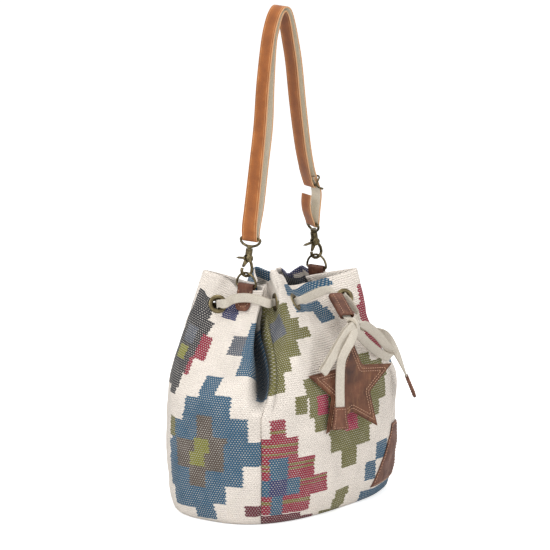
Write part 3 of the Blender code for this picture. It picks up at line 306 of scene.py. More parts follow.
def lathe(name: str, profile: Sequence[tuple[float, float]], place: Matrix, sides: int = 40) -> bpy.types.Object:
    """Turn a closed profile round an axis.

    Args:
        name: The object's name.
        profile: Points of (radius, height), in millimetres.
        place: The matrix whose Z axis it is turned about, in millimetres.
        sides: How many steps the turn has.

    Returns:
        The turned piece.
    """
    rows = [[tuple(place @ Vector((r * math.cos(turn), r * math.sin(turn), h))) for r, h in profile]
            for turn in (2 * math.pi * i / sides for i in range(sides))]
    return rows_object(name, rows, joined=True, sharp=50)


def stand(centre: Iterable[float], normal: Iterable[float]) -> Matrix:
    """Make a matrix at a place whose Z axis is a direction."""
    along = Vector(unit(normal))
    side = Vector((0, 0, 1)).cross(along)
    side = side.normalized() if side.length > 1e-6 else Vector((1, 0, 0))
    turn = Matrix((side, along.cross(side), along)).transposed().to_4x4()
    return Matrix.Translation(Vector(centre)) @ turn


def recast(name: str, node: str, voxel: float, passes: int) -> bpy.types.Object:
    """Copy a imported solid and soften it, as a casting comes from its mould and barrel.

    Args:
        name: The new object's name.
        node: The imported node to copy.
        voxel: The size of the cells that its skin is rebuilt on, in millimetres.
        passes: How many times its skin is smoothed.

    Returns:
        The softened copy.
    """
    made = linked(name, bpy.data.objects[node].data.copy())
    made.data.materials.clear()
    shape = bmesh.new()
    shape.from_mesh(made.data)
    bmesh.ops.remove_doubles(shape, verts=shape.verts, dist=1e-5)
    shape.to_mesh(made.data)
    shape.free()
    remesh = made.modifiers.new("skin", "REMESH")
    remesh.mode, remesh.voxel_size, remesh.use_smooth_shade = "VOXEL", voxel * MM, True
    soften = made.modifiers.new("tumble", "SMOOTH")
    soften.factor, soften.iterations = 0.5, passes
    return apply_all(made)


def stitches(name: str, line: Array, normals: Array, length: float = 2.6, gap: float = 1.1,
             radius: float = 0.38) -> bpy.types.Object:
    """Sew a row of stitches along a line.

    Args:
        name: The object's name.
        line: The seam, on the surface that it is sewn into.
        normals: The surface's outward direction at each point.
        length: How long each stitch shows.
        gap: How far apart stitches are.
        radius: The thread's radius.

    Returns:
        All stitches as one mesh.
    """
    way = travelled(line)
    count = max(1, int(way[-1] // (length + gap)))
    points, faces = [], []
    for i in range(count):
        start = (i + 0.5) * way[-1] / count - length / 2
        places = start + np.array([0.0, 0.22, 0.5, 0.78, 1.0]) * length
        rise = radius * np.array([-0.9, 0.35, 0.6, 0.35, -0.9])
        ring = radius * np.array([0.55, 0.95, 1.0, 0.95, 0.55])
        spine = np.stack([np.interp(places, way, line[:, k]) for k in range(3)], 1)
        out = units(np.stack([np.interp(places, way, normals[:, k]) for k in range(3)], 1))
        ahead = unit(spine[-1] - spine[0])
        base = len(points)
        for k in range(5):
            side = np.cross(out[k], ahead)
            for j in range(6):
                turn = math.pi * j / 3
                points.append(spine[k] + out[k] * (rise[k] + ring[k] * math.sin(turn))
                              + side * ring[k] * math.cos(turn))
        faces += skin(6, 5, base=base)
    return mesh_object(name, np.array(points), faces)


# ---------------------------------------------------------------- cloth form


class Panel(Enum):
    """The four panels that are gathered at the neck."""

    FRONT = "front_panel"
    RIGHT = "right_gusset"
    BACK = "back_panel"
    LEFT = "left_gusset"


@dataclass(frozen=True)
class RimPoint:
    """A place on the rim of the mouth: panel, column, x, y, height and how late its fold starts."""

    panel: Panel
    column: int
    x: float
    y: float
    height: float
    late: float


@dataclass
class ClothForm:
    """The gathered cloth as one closed surface, as fine as the weave needs.

    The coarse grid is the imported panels' own; the fine surface runs smoothly through it.
    """

    outlines: tuple[tuple[float, float, float], ...] = (
        (0.0, 143.5, 86.5), (3.5, 147.5, 91.0), (14.0, 151.5, 95.0),
        (45.0, 155.5, 99.5), (95.0, 156.5, 100.5), (150.0, 154.0, 98.0))
    squareness: float = 2.7
    shoulder: float = 150.0
    softness: float = 0.15
    rises: tuple[float, ...] = (0.2, 0.4, 0.54, 0.66, 0.78, 0.9, 1.0)
    eyelet_rise: float = 0.78
    rim: tuple[RimPoint, ...] = (
        RimPoint(Panel.FRONT, 0, -32, -4, 266, 0.9), RimPoint(Panel.FRONT, 2, -50, -21, 279, 1.0),
        RimPoint(Panel.FRONT, 4, -68, -35, 290, 1.0), RimPoint(Panel.FRONT, 7, -40, -33, 277, 1.1),
        RimPoint(Panel.FRONT, 10, -8, -14, 260, 1.5), RimPoint(Panel.FRONT, 14, 30, -37, 264, 1.2),
        RimPoint(Panel.FRONT, 18, 68, -58, 273, 0.9), RimPoint(Panel.FRONT, 20, 58, -34, 268, 1.0),
        RimPoint(Panel.FRONT, 22, 41, -7, 262, 0.8), RimPoint(Panel.RIGHT, 2, 55, -15, 262, 0.8),
        RimPoint(Panel.RIGHT, 4, 66, -21, 263, 0.7), RimPoint(Panel.RIGHT, 6, 70, 0, 263, 0.6),
        RimPoint(Panel.RIGHT, 8, 68, 21, 267, 0.7), RimPoint(Panel.RIGHT, 10, 62, 34, 257, 1.0),
        RimPoint(Panel.RIGHT, 13, 72, 54, 260, 1.0), RimPoint(Panel.BACK, 3, 50, 46, 258, 1.0),
        RimPoint(Panel.BACK, 7, 34, 24, 256, 1.2), RimPoint(Panel.BACK, 12, 12, 50, 271, 1.0),
        RimPoint(Panel.BACK, 16, -18, 26, 260, 1.2), RimPoint(Panel.BACK, 19, -46, 44, 270, 1.0),
        RimPoint(Panel.BACK, 22, -84, 50, 282, 1.0), RimPoint(Panel.LEFT, 3, -77, 29, 276, 1.0),
        RimPoint(Panel.LEFT, 5, -70, 20, 268, 0.7), RimPoint(Panel.LEFT, 7, -70, 0, 263, 0.6),
        RimPoint(Panel.LEFT, 9, -65, -20.5, 264, 0.7), RimPoint(Panel.LEFT, 11, -50, -12, 265, 0.8))
    eyelets: tuple[tuple[Panel, int], ...] = (
        (Panel.LEFT, 4), (Panel.FRONT, 2), (Panel.FRONT, 7), (Panel.FRONT, 15),
        (Panel.FRONT, 20), (Panel.RIGHT, 10), (Panel.BACK, 3), (Panel.BACK, 19))
    pressed: float = 11.3
    tabs: tuple[tuple[Panel, int, float], ...] = ((Panel.LEFT, 7, -1.0), (Panel.RIGHT, 6, 1.0))
    # Cloth stays flat up to the first distance from an eyelet or a tab, and is free again after the second more.
    tab_middle: float = 252.0
    eyelet_calm: tuple[float, float] = (11.0, 14.0)
    tab_calm: tuple[float, float] = (16.0, 16.0)
    # Depths of the broad dents, of the upright gathers near the neck and of the slack between them.
    dents: Point = (2.1, 2.3, 0.7)
    neck_from: float = 165.0
    neck_over: float = 60.0
    foot_over: float = 12.0
    parted: float = 0.25
    thread_pitch: float = 2.0
    # The corner fold: its depth, its strength by height, its place beside the seam and its two walls' widths.
    fold: float = 26.0
    fold_levels: tuple[tuple[float, float], ...] = (
        (132.0, 0.0), (150.0, 0.4), (170.0, 1.0), (226.0, 1.0), (252.0, 0.35), (290.0, 0.2))
    fold_at: float = -3.0
    fold_walls: tuple[float, float] = (10.0, 3.0)
    # The ridge beside it and the seam's sideways bow: how far, and where and how wide across the cloth.
    ridge: Point = (4.0, 8.0, 7.5)
    bow: Point = (9.0, 2.0, 15.0)
    bow_heights: tuple[float, float] = (128.0, 92.0)
    seam_deep: float = 2.1
    seam_wide: float = 2.2
    star_reach: float = 62.0
    star_room: float = 2.5
    # The lining behind the fold: its extra room, and where and how wide that is across the cloth.
    lining_room: Point = (6.0, -4.0, 20.0)
    lining_gap: float = 1.5
    columns: dict[Panel, int] = field(default_factory=lambda: {
        Panel.FRONT: 22, Panel.RIGHT: 13, Panel.BACK: 22, Panel.LEFT: 13})
    cells: int = 6

    def __post_init__(self) -> None:
        """Work out the panels' shares of the girth, the coarse grid and the fine surface."""
        turns = np.linspace(-0.75 * math.pi, 1.25 * math.pi, 1441)
        outline = np.array([self.outline(t, *self.outlines[-1][1:]) for t in turns])
        way = travelled(outline)
        self.girth = float(way[-1])
        self.turns, self.along = turns, way / self.girth
        corners = [self.along[360 * i] for i in range(4)] + [1.0]
        self.start = {p: corners[i] for i, p in enumerate(Panel)}
        self.size = {p: corners[i + 1] - corners[i] for i, p in enumerate(Panel)}
        firsts = np.cumsum([0, *self.columns.values()])
        self.first = {p: int(n) for p, n in zip(Panel, firsts)}
        self.sewn = {Panel.FRONT: (-1, 22), Panel.RIGHT: (0, 13), Panel.BACK: (0, 22), Panel.LEFT: (0, 12)}
        self.total = int(firsts[-1])
        self.rim_at = self.closed_spline()
        self.coarse()
        self.refine()

    def outline(self, turn: float, half_x: float, half_y: float) -> tuple[float, float]:
        """A point of the body's rounded outline."""
        c, s, power = math.cos(turn), math.sin(turn), 2 / self.squareness
        return half_x * math.copysign(abs(c) ** power, c), half_y * math.copysign(abs(s) ** power, s)

    def share(self, panel: Panel, column: float) -> float:
        """A column's share of the way round."""
        return (self.start[panel] + self.size[panel] * column / self.columns[panel]) % 1.0

    def closed_spline(self) -> Callable[[float], Array]:
        """A smooth closed curve through the rim's points.

        Returns:
            A function from the share of the girth to x, y, height and lateness.
        """
        rows = sorted((self.share(r.panel, r.column), r.x, r.y, r.height, r.late) for r in self.rim)
        places, values = [r[0] for r in rows], np.array([r[1:] for r in rows], float)
        count = len(rows)
        span = [(places[(i + 1) % count] - places[i]) % 1.0 for i in range(count)]
        table, right = np.zeros((count, count)), np.zeros((count, 4))
        for i in range(count):
            before, after, j = span[i - 1], span[i], (i + 1) % count
            table[i, i - 1] += 1 / before
            table[i, i] += 2 * (1 / before + 1 / after)
            table[i, j] += 1 / after
            right[i] = 3 * ((values[i] - values[i - 1]) / before ** 2 + (values[j] - values[i]) / after ** 2)
        slope = np.linalg.solve(table, right)

        def at(place: float) -> Array:
            """The rim's numbers at one place."""
            i = max((k for k in range(count) if places[k] <= place % 1.0), default=count - 1)
            j, t = (i + 1) % count, ((place - places[i]) % 1.0) / span[i]
            return sloped(values[i], slope[i] * span[i], values[j], slope[j] * span[i], t)

        return at

    def body(self, share: float, height: float) -> Array:
        """A point of the body below the shoulder."""
        heights, wide, deep = zip(*self.outlines)
        turn = float(np.interp(share % 1.0, self.along, self.turns))
        x, y = self.outline(turn, float(np.interp(height, heights, wide)), float(np.interp(height, heights, deep)))
        return np.array([x, y, height])

    def neck(self, share: float, rise: float) -> Array:
        """A point between the shoulder and the rim."""
        x, y, top, late = self.rim_at(share)
        pull = (rise * rise * (1 + self.softness) / (rise + self.softness)) ** late
        flat = self.body(share, self.shoulder) * (1 - pull) + np.array([x, y, 0]) * pull
        return np.array([flat[0], flat[1], self.shoulder + (top - self.shoulder) * rise])

    @staticmethod
    def normals_of(grid: Array) -> Array:
        """Outward normals of a grid that is closed across its columns."""
        round_it = np.roll(grid, -1, axis=1) - np.roll(grid, 1, axis=1)
        normal = np.cross(round_it, np.gradient(grid, axis=0))
        return normal / np.maximum(np.linalg.norm(normal, axis=2, keepdims=True), 1e-9)

    def coarse(self) -> None:
        """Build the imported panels' grid, pressed flat under the eyelets and the ring tabs."""
        shares = [self.share(p, c) for p in Panel for c in range(self.columns[p])]
        rows = [[self.body(s, o[0]) for s in shares] for o in self.outlines]
        rows += [[self.neck(s, rise) for s in shares] for rise in self.rises]
        grid = np.array(rows)
        row = {rise: len(self.outlines) + i for i, rise in enumerate(self.rises)}
        normals = self.normals_of(grid)
        flat = np.zeros(grid.shape[:2], bool)
        self.holes: list[tuple[Array, Array]] = []
        for panel, column in self.eyelets:
            middle, level = self.first[panel] + column, row[self.eyelet_rise]
            centre, normal = grid[level, middle % self.total].copy(), normals[level, middle % self.total].copy()
            side = unit(np.cross([0, 0, 1], normal))
            up = np.cross(normal, side)
            for i in (-1, 0, 1):
                for j in (-1, 0, 1):
                    spot = (level + j, (middle + i) % self.total)
                    grid[spot] = centre + side * i * self.pressed + up * j * self.pressed
                    flat[spot] = True
            self.holes.append((centre, normal))
        for panel, column, side in self.tabs:
            for i in (-1, 0, 1):
                for rise in (0.78, 0.9, 1.0):
                    height = self.shoulder + (TAB_RIM - self.shoulder) * rise
                    spot = (row[rise], (self.first[panel] + column + i) % self.total)
                    grid[spot] = (side * (TAB_X + TAB_LEAN * (TAB_RIM - height)), side * i * (TAB_WIDE / 2 + 1.0),
                                  height)
                    flat[spot] = True
        calm = grid.copy()
        for level, column in zip(*np.nonzero(~flat)):
            before, after = (column - 1) % self.total, (column + 1) % self.total
            if flat[level, before] == flat[level, after]:
                continue
            edge, inside = (before, before - 1) if flat[level, before] else (after, (after + 1) % self.total)
            onward = grid[level, edge] - grid[level, inside]
            step = grid[level, column] - grid[level, edge]
            if np.linalg.norm(step) < 6.0 or step @ onward < 0:
                calm[level, column] = (grid[level, before] + grid[level, after]) / 2
        self.grid = calm

    def refine(self) -> None:
        """Run the fine surface through the coarse grid, with seams, gathers and soft creases."""
        wide = []
        for c in range(self.total):
            a, b, p, q = (self.grid[:, (c + k) % self.total] for k in (-1, 0, 1, 2))
            wide += [between(a, b, p, q, n / self.cells) for n in range(self.cells)]
        tall = np.array(wide).transpose(1, 0, 2)
        step = np.linalg.norm(np.diff(tall, axis=0), axis=2).mean(axis=1)
        slope = np.gradient(tall, np.concatenate([[0], np.cumsum(step)]), axis=0)
        rows, levels = [], []
        for r, span in enumerate(step):
            count = max(2, int(round(span / self.thread_pitch)))
            for n in range(count):
                t = n / count
                rows.append(sloped(tall[r], slope[r] * span, tall[r + 1], slope[r + 1] * span, t))
                levels.append(r + t)
        rows.append(tall[-1])
        levels.append(len(step))
        self.levels = np.array(levels)
        fine = np.array(rows)
        self.fine = self.crease(fine, self.normals_of(fine))
        self.fine_normals = self.normals_of(self.fine)
        steps = np.linalg.norm(np.diff(self.fine, axis=0), axis=2)
        self.up_way = np.concatenate([np.zeros((1, fine.shape[1])), np.cumsum(steps, axis=0)])

    def seam_distance(self) -> Array:
        """How far each fine column is from the nearest seam, in millimetres."""
        count = self.total * self.cells
        seams = [(self.first[p] + self.sewn[p][0]) % self.total * self.cells for p in Panel]
        place = np.arange(count)
        near = np.min([np.minimum(abs(place - s), count - abs(place - s)) for s in seams], axis=0)
        return near * self.girth / count

    def crease(self, fine: Array, normals: Array) -> Array:
        """Add what hands, thread and gathering leave in cloth.

        Args:
            fine: The smooth surface.
            normals: Its normals.

        Returns:
            The surface with sunken seams, gathers near the neck and soft dents.
        """
        depth = np.zeros(fine.shape[:2])
        depth -= self.seam_deep * np.exp(-(self.seam_distance() / self.seam_wide) ** 2)[None]
        steady = np.ones(fine.shape[:2])
        for centre, _ in self.holes:
            away = np.linalg.norm(fine - centre, axis=2)
            steady *= np.clip((away - self.eyelet_calm[0]) / self.eyelet_calm[1], 0, 1)
        for _, _, side in self.tabs:
            away = np.linalg.norm((fine - np.array([side * TAB_X, 0, self.tab_middle])) / [1, 1, 1.3], axis=2)
            steady *= np.clip((away - self.tab_calm[0]) / self.tab_calm[1], 0, 1)
        # The front panel is gathered over the left gusset: a deep hollow beside the seam that runs out lower down.
        place = np.arange(fine.shape[1]) - (self.total - 1) * self.cells
        apart = place * self.girth / fine.shape[1]
        heights = fine[..., 2]
        upper = np.interp(heights, *zip(*self.fold_levels)) * steady
        wall = (apart - self.fold_at) / np.where(apart < self.fold_at, *self.fold_walls)
        high, at, span = self.ridge
        depth += (high * np.exp(-((apart - at) / span) ** 2) - self.fold * np.exp(-wall ** 2))[None] * upper
        sway = np.sin(math.pi * np.clip((heights - self.bow_heights[0]) / self.bow_heights[1], 0, 1)) * steady
        far, at, span = self.bow
        sway *= far * np.exp(-((apart - at) / span) ** 2)[None]
        # How deep in the fold each point is: the woven material paints shade into the cloth's colour from it.
        self.hollow = upper * np.exp(-wall ** 2)[None]
        along = units(np.roll(fine, -1, axis=1) - np.roll(fine, 1, axis=1))
        # The lining hangs straight behind the hollow, so it is kept clear of the fold's walls.
        room, at, span = self.lining_room
        behind = -(self.fold + room) * np.exp(-((apart - at) / span) ** 4)[None] * upper
        self.inside = fine + normals * (behind - self.lining_gap)[..., None]
        top = np.clip((heights - self.neck_from) / self.neck_over, 0, 1)
        far, steep, loose = self.dents
        for r in range(fine.shape[0]):
            for c in range(fine.shape[1]):
                x, y, z = fine[r, c]
                broad = noise.noise(Vector((x / 46, y / 46, z / 38)))
                upright = noise.noise(Vector((x / 12 + 7, y / 12, z / 46)))
                slack = noise.noise(Vector((x / 21, y / 21 + 3, z / 13)))
                depth[r, c] += steady[r, c] * (far * broad + steep * top[r, c] * upright + loose * slack)
        # Cloth behind the star is calm and lies a little back, so that the star swings clear of it.
        near = np.exp(-(np.linalg.norm(fine - np.array(STAR_MIDDLE), axis=2) / self.star_reach) ** 4)
        depth = depth * (1 - near) - self.star_room * near
        low = np.clip(heights / self.foot_over, 0, 1)[..., None]
        return fine + (normals * depth[..., None] + along * sway[..., None]) * low

    def sheet(self, panel: Panel) -> tuple[Array, Array, Array, Array]:
        """One panel's part of the fine surface.

        Args:
            panel: The panel.

        Returns:
            Its points, its normals, and its map across and up, all by row and column.
        """
        left, right = (c * self.cells for c in self.sewn[panel])
        place = np.arange(left, right + 1)
        pick = (self.first[panel] * self.cells + place) % (self.total * self.cells)
        points, normals = self.fine[:, pick].copy(), self.fine_normals[:, pick].copy()
        across = self.size[panel] * self.girth * place / (self.columns[panel] * self.cells)
        for edge, inner in ((0, 1), (-1, -2)):
            points[:, edge] += units(points[:, inner] - points[:, edge]) * self.parted
        return points, normals, np.broadcast_to(across, points.shape[:2]), self.up_way[:, pick]

    def hidden(self, panel: Panel) -> Array:
        """How deep in the corner fold each point of a panel's sheet is, from 0 to 1, for the painted shade there."""
        left, right = (c * self.cells for c in self.sewn[panel])
        place = self.first[panel] * self.cells + np.arange(left, right + 1)
        return self.hollow[:, place % (self.total * self.cells)]

    def spot(self, panel: Panel, column: float, height: float) -> tuple[Array, Array]:
        """A point of the outer face and its normal.

        Args:
            panel: The panel.
            column: The column on it, with its fraction.
            height: The height over the floor, in millimetres.

        Returns:
            The point and the normal.
        """
        place = (self.first[panel] + column) * self.cells
        low = int(place) % (self.total * self.cells)
        high, part = (low + 1) % (self.total * self.cells), place - int(place)
        line = self.fine[:, low] * (1 - part) + self.fine[:, high] * part
        outward = self.fine_normals[:, low] * (1 - part) + self.fine_normals[:, high] * part
        found = [np.interp(height, line[:, 2], rows[:, k]) for rows in (line, outward) for k in range(3)]
        return np.array(found[:3]), unit(found[3:])


# ---------------------------------------------------------------- finishes


class Nodes:
    """A tree of nodes that is being built."""

    def __init__(self, tree: bpy.types.NodeTree) -> None:
        """Start with an empty tree."""
        self.tree = tree
        tree.nodes.clear()

    def add(self, kind: str, *values: object, out: int | str = 0, stops: Sequence[tuple[float, tuple]] = (),
            blend: str = "LINEAR", **settings: object) -> Optional[bpy.types.NodeSocket]:
        """Add a node with its settings and links.

        Args:
            kind: The node's type, without its prefix.
            values: Values, or sockets to link, for its first inputs in order, or rows of them by input.
            out: Which output is given back.
            stops: A ramp's positions and colours.
            blend: How a ramp runs between its stops.
            settings: The node's own settings.

        Returns:
            The chosen output, or none where the node has no output.
        """
        made = self.tree.nodes.new("ShaderNode" + kind)
        for key, value in settings.items():
            setattr(made, key, value)
        if stops:
            ramp = made.color_ramp
            ramp.interpolation = blend
            ramp.elements[0].position, ramp.elements[0].color = stops[0]
            ramp.elements[1].position, ramp.elements[1].color = stops[-1]
            for position, colour in stops[1:-1]:
                ramp.elements.new(position).color = colour
        for place, entry in enumerate(values):
            for key, value in entry.items() if isinstance(entry, dict) else ((place, entry),):
                if isinstance(value, bpy.types.NodeSocket):
                    self.tree.links.new(value, made.inputs[key])
                else:
                    made.inputs[key].default_value = value
        return made.outputs[out] if made.outputs else None


class Shader(Nodes):
    """A material that is being built from nodes."""

    def __init__(self, name: str) -> None:
        """Start a material with its Principled shader and its output."""
        self.made = bpy.data.materials.new(name)
        self.made.use_nodes = True
        super().__init__(self.made.node_tree)
        self.bsdf = self.add("BsdfPrincipled").node
        self.add("OutputMaterial", self.bsdf.outputs[0])

    def finish(self, colour: bpy.types.NodeSocket | tuple, roughness: bpy.types.NodeSocket | float,
               height: Optional[bpy.types.NodeSocket] = None, depth_mm: float = 0.2,
               **plain: float | tuple) -> bpy.types.Material:
        """Link the colour, the roughness and the relief, and set plain values.

        Args:
            colour: The base colour.
            roughness: The roughness.
            height: Relief from 0 to 1, or none.
            depth_mm: How deep the relief is.
            plain: Other sockets, with spaces as underscores.

        Returns:
            The material.
        """
        wanted = {"Base Color": colour, "Roughness": roughness} | {k.replace("_", " "): v for k, v in plain.items()}
        if height is not None:
            wanted["Normal"] = self.add("Bump", {"Height": height, "Strength": 1.0, "Distance": depth_mm * MM})
        for key, value in wanted.items():
            if isinstance(value, bpy.types.NodeSocket):
                self.tree.links.new(value, self.bsdf.inputs[key])
            else:
                self.bsdf.inputs[key].default_value = value
        return self.made


class Dye(Enum):
    """The wool colours of the woven fields."""

    CREAM = "#F3E9DE"
    BLUE = "#2C5B78"
    NAVY = "#2C3264"
    OLIVE = "#6D6930"
    RED = "#96203A"
    CRIMSON = "#AC2149"
    MAROON = "#66202F"
    CHARCOAL = "#303034"
    TAUPE = "#5A4E44"
    LIME = "#85842F"
    SLATE = "#565C68"
    BRASSY = "#7E6F38"


@dataclass(frozen=True)
class Field:
    """One woven field: bands of (from height, left, right) in millimetres, and where the last one ends."""

    dye: Dye
    bands: tuple[tuple[float, float, float], ...]
    end: float
    stripes: tuple[tuple[float, float], ...] = ()

    def mirrored(self, wide: float) -> "Field":
        """The same field turned left to right on a panel of this width."""
        bands = tuple((v, wide - right, wide - left) for v, left, right in self.bands)
        return Field(self.dye, bands, self.end, self.stripes)


@dataclass(frozen=True)
class WovenCotton:
    """Weft-faced cotton kilim: thick soft yarn that gives a matt, ribbed face with pale specks."""

    name: str
    fields: tuple[Field, ...] = ()
    span: float = 300.0
    margin: float = 20.0
    speck_wide: float = 3.3
    speck_tall: float = 2.6

    def build(self) -> bpy.types.Material:
        """Lay the fields over cream in the map's millimetres, then weave them.

        Returns:
            The material.
        """
        g = Shader(self.name)
        place = g.add("SeparateXYZ", g.add("UVMap", uv_map="cloth"), out=0)
        across, up = place, place.node.outputs[1]
        # The yarn's own wander and the teeth that a stepped edge has, one tooth to two rows of yarn.
        wander = g.add("TexNoise", g.add("UVMap", uv_map="cloth"), {"Scale": 0.16, "Detail": 2.0})
        teeth = g.add("Math", up, 2.35, operation="PINGPONG")
        teeth = g.add("Math", teeth, 1.0, self.margin - 1.2, operation="MULTIPLY_ADD")
        shift = g.add("Math", wander, 3.4, -1.7, operation="MULTIPLY_ADD")
        left_right = g.add("Math", g.add("Math", teeth, shift, operation="ADD"), across, operation="ADD")
        left_right = g.add("Math", left_right, self.span, operation="DIVIDE")
        level = g.add("Math", g.add("Math", shift, 0.6, up, operation="MULTIPLY_ADD"), self.span, operation="DIVIDE")
        dyed = linear(Dye.CREAM.value)
        coloured: bpy.types.NodeSocket | float = 0.0
        for part in self.fields:
            stops = [(0.0, (1.0, 0.0, 0.0, 1.0))]
            stops += [(v / self.span, ((left + self.margin) / self.span, (right + self.margin) / self.span, 0.0, 1.0))
                      for v, left, right in part.bands]
            stops.append((part.end / self.span, (1.0, 0.0, 0.0, 1.0)))
            edges = g.add("SeparateColor", g.add("ValToRGB", level, stops=stops, blend="CONSTANT"), out=0)
            inside = g.add("Math", left_right, edges, operation="GREATER_THAN")
            before_right = g.add("Math", left_right, edges.node.outputs[1], operation="LESS_THAN")
            inside = g.add("Math", inside, before_right, operation="MULTIPLY")
            colour: bpy.types.NodeSocket | tuple = linear(part.dye.value)
            if part.stripes:
                stops = [(0.0, linear("#000000"))]
                for low, high in part.stripes:
                    stops += [(low / self.span, linear("#FFFFFF")), (high / self.span, linear("#000000"))]
                striped = g.add("ValToRGB", level, stops=stops, blend="CONSTANT")
                colour = g.add("Mix", striped, {6: colour, 7: linear(Dye.BRASSY.value)}, out=2, data_type="RGBA")
            dyed = g.add("Mix", inside, {6: dyed, 7: colour}, out=2, data_type="RGBA")
            coloured = g.add("Math", coloured, inside, operation="MAXIMUM")
        return self.weave(g, across, up, dyed, coloured)

    def weave(self, g: Shader, across: bpy.types.NodeSocket, up: bpy.types.NodeSocket,
              dyed: bpy.types.NodeSocket | tuple, coloured: bpy.types.NodeSocket | float) -> bpy.types.Material:
        """Add the warp's pale specks, the ribs of the weft with painted shade in their valleys, the yarn's unevenness
        and painted shade in the corner fold.

        Args:
            g: The material that is being built.
            across: Millimetres across the panel.
            up: Millimetres up the panel.
            dyed: The plain dyed colour.
            coloured: One inside the fields and nought on the cream ground.

        Returns:
            The material.
        """
        map_mm = g.add("UVMap", uv_map="cloth")
        row = g.add("Math", up, self.speck_tall, operation="DIVIDE")
        half = g.add("Math", g.add("Math", row, operation="FLOOR"), 0.5, operation="MULTIPLY")
        column = g.add("Math", g.add("Math", across, self.speck_wide, operation="DIVIDE"), half, operation="ADD")
        # Specks: a soft round spot in each staggered cell, where the undyed warp comes to the face.
        along = g.add("Math", column, 0.5, operation="PINGPONG")
        tall = g.add("Math", g.add("Math", row, 0.5, operation="ADD"), 0.5, operation="PINGPONG")
        far, high = (g.add("Math", way, way, operation="MULTIPLY") for way in (along, tall))
        far = g.add("Math", far, high, operation="ADD")
        speck = g.add("MapRange", far, 0.105, 0.04, 0.0, 1.0)
        patchy = g.add("TexNoise", map_mm, {"Scale": 0.05, "Detail": 2.0})
        patchy = g.add("MapRange", patchy, 0.3, 0.7, 0.34, 0.80)
        pale = g.add("Math", speck, patchy, operation="MULTIPLY")
        pale = g.add("Math", pale, coloured, operation="MULTIPLY")
        fuzz = g.add("TexNoise", map_mm, {"Scale": 0.7, "Detail": 3.0, "Roughness": 0.7})
        fuzz = g.add("MapRange", fuzz, 0.25, 0.75, 0.78, 1.16)
        drift = g.add("TexNoise", map_mm, {"Scale": 0.028, "Detail": 2.0})
        drift = g.add("MapRange", drift, 0.3, 0.7, 0.93, 1.05)
        toned = g.add("VectorMath", dyed, {"Scale": g.add("Math", fuzz, drift, operation="MULTIPLY")},
                      operation="SCALE")
        colour = g.add("Mix", pale, {6: toned, 7: linear("#DDD6CC")}, out=2, data_type="RGBA")
        ribs = g.add("Math", tall, 2.0, operation="MULTIPLY")
        # Painted shade: the colour is darkened in the valleys between the weft's rows.
        painted_shade = g.add("MapRange", ribs, 1.0, 0.55, 0.88, 1.0)
        # Painted shade: deep in the corner fold the cloth's colour is darkened, standing in for the shade that falls
        # there.
        fold_shade = g.add("Attribute", attribute_name="hollow", out="Fac", attribute_type="GEOMETRY")
        fold_shade = g.add("MapRange", fold_shade, 0.05, 0.6, 1.0, 0.1)
        painted_shade = g.add("Math", painted_shade, fold_shade, operation="MULTIPLY")
        colour = g.add("VectorMath", colour, {"Scale": painted_shade}, operation="SCALE")
        bead = g.add("Math", speck, 0.9, operation="MULTIPLY")
        height = g.add("Math", g.add("Math", 1.0, ribs, operation="SUBTRACT"), bead, operation="ADD")
        height = g.add("Math", height, g.add("Math", fuzz, 0.7, operation="MULTIPLY"), operation="ADD")
        return g.finish(colour, 0.93, height, 0.5, Sheen_Weight=0.05, Sheen_Roughness=0.6)


@dataclass(frozen=True)
class PlainCotton:
    """Plain woven cotton lining: thin, even and matt."""

    name: str = "plain_woven_cotton"
    colour: str = "#C9C2B4"

    def build(self) -> bpy.types.Material:
        """Weave it on Object coordinates at 1.2 mm, coarser than the real thread so that it shows."""
        g = Shader(self.name)
        where = g.add("TexCoord", out="Object")
        fine = g.add("TexNoise", where, {"Scale": 900.0, "Detail": 2.0})
        tone = g.add("MapRange", fine, 0.0, 1.0, 0.85, 1.1)
        colour = g.add("VectorMath", linear(self.colour)[:3], {"Scale": tone}, operation="SCALE")
        return g.finish(colour, 0.95, fine, 0.15)


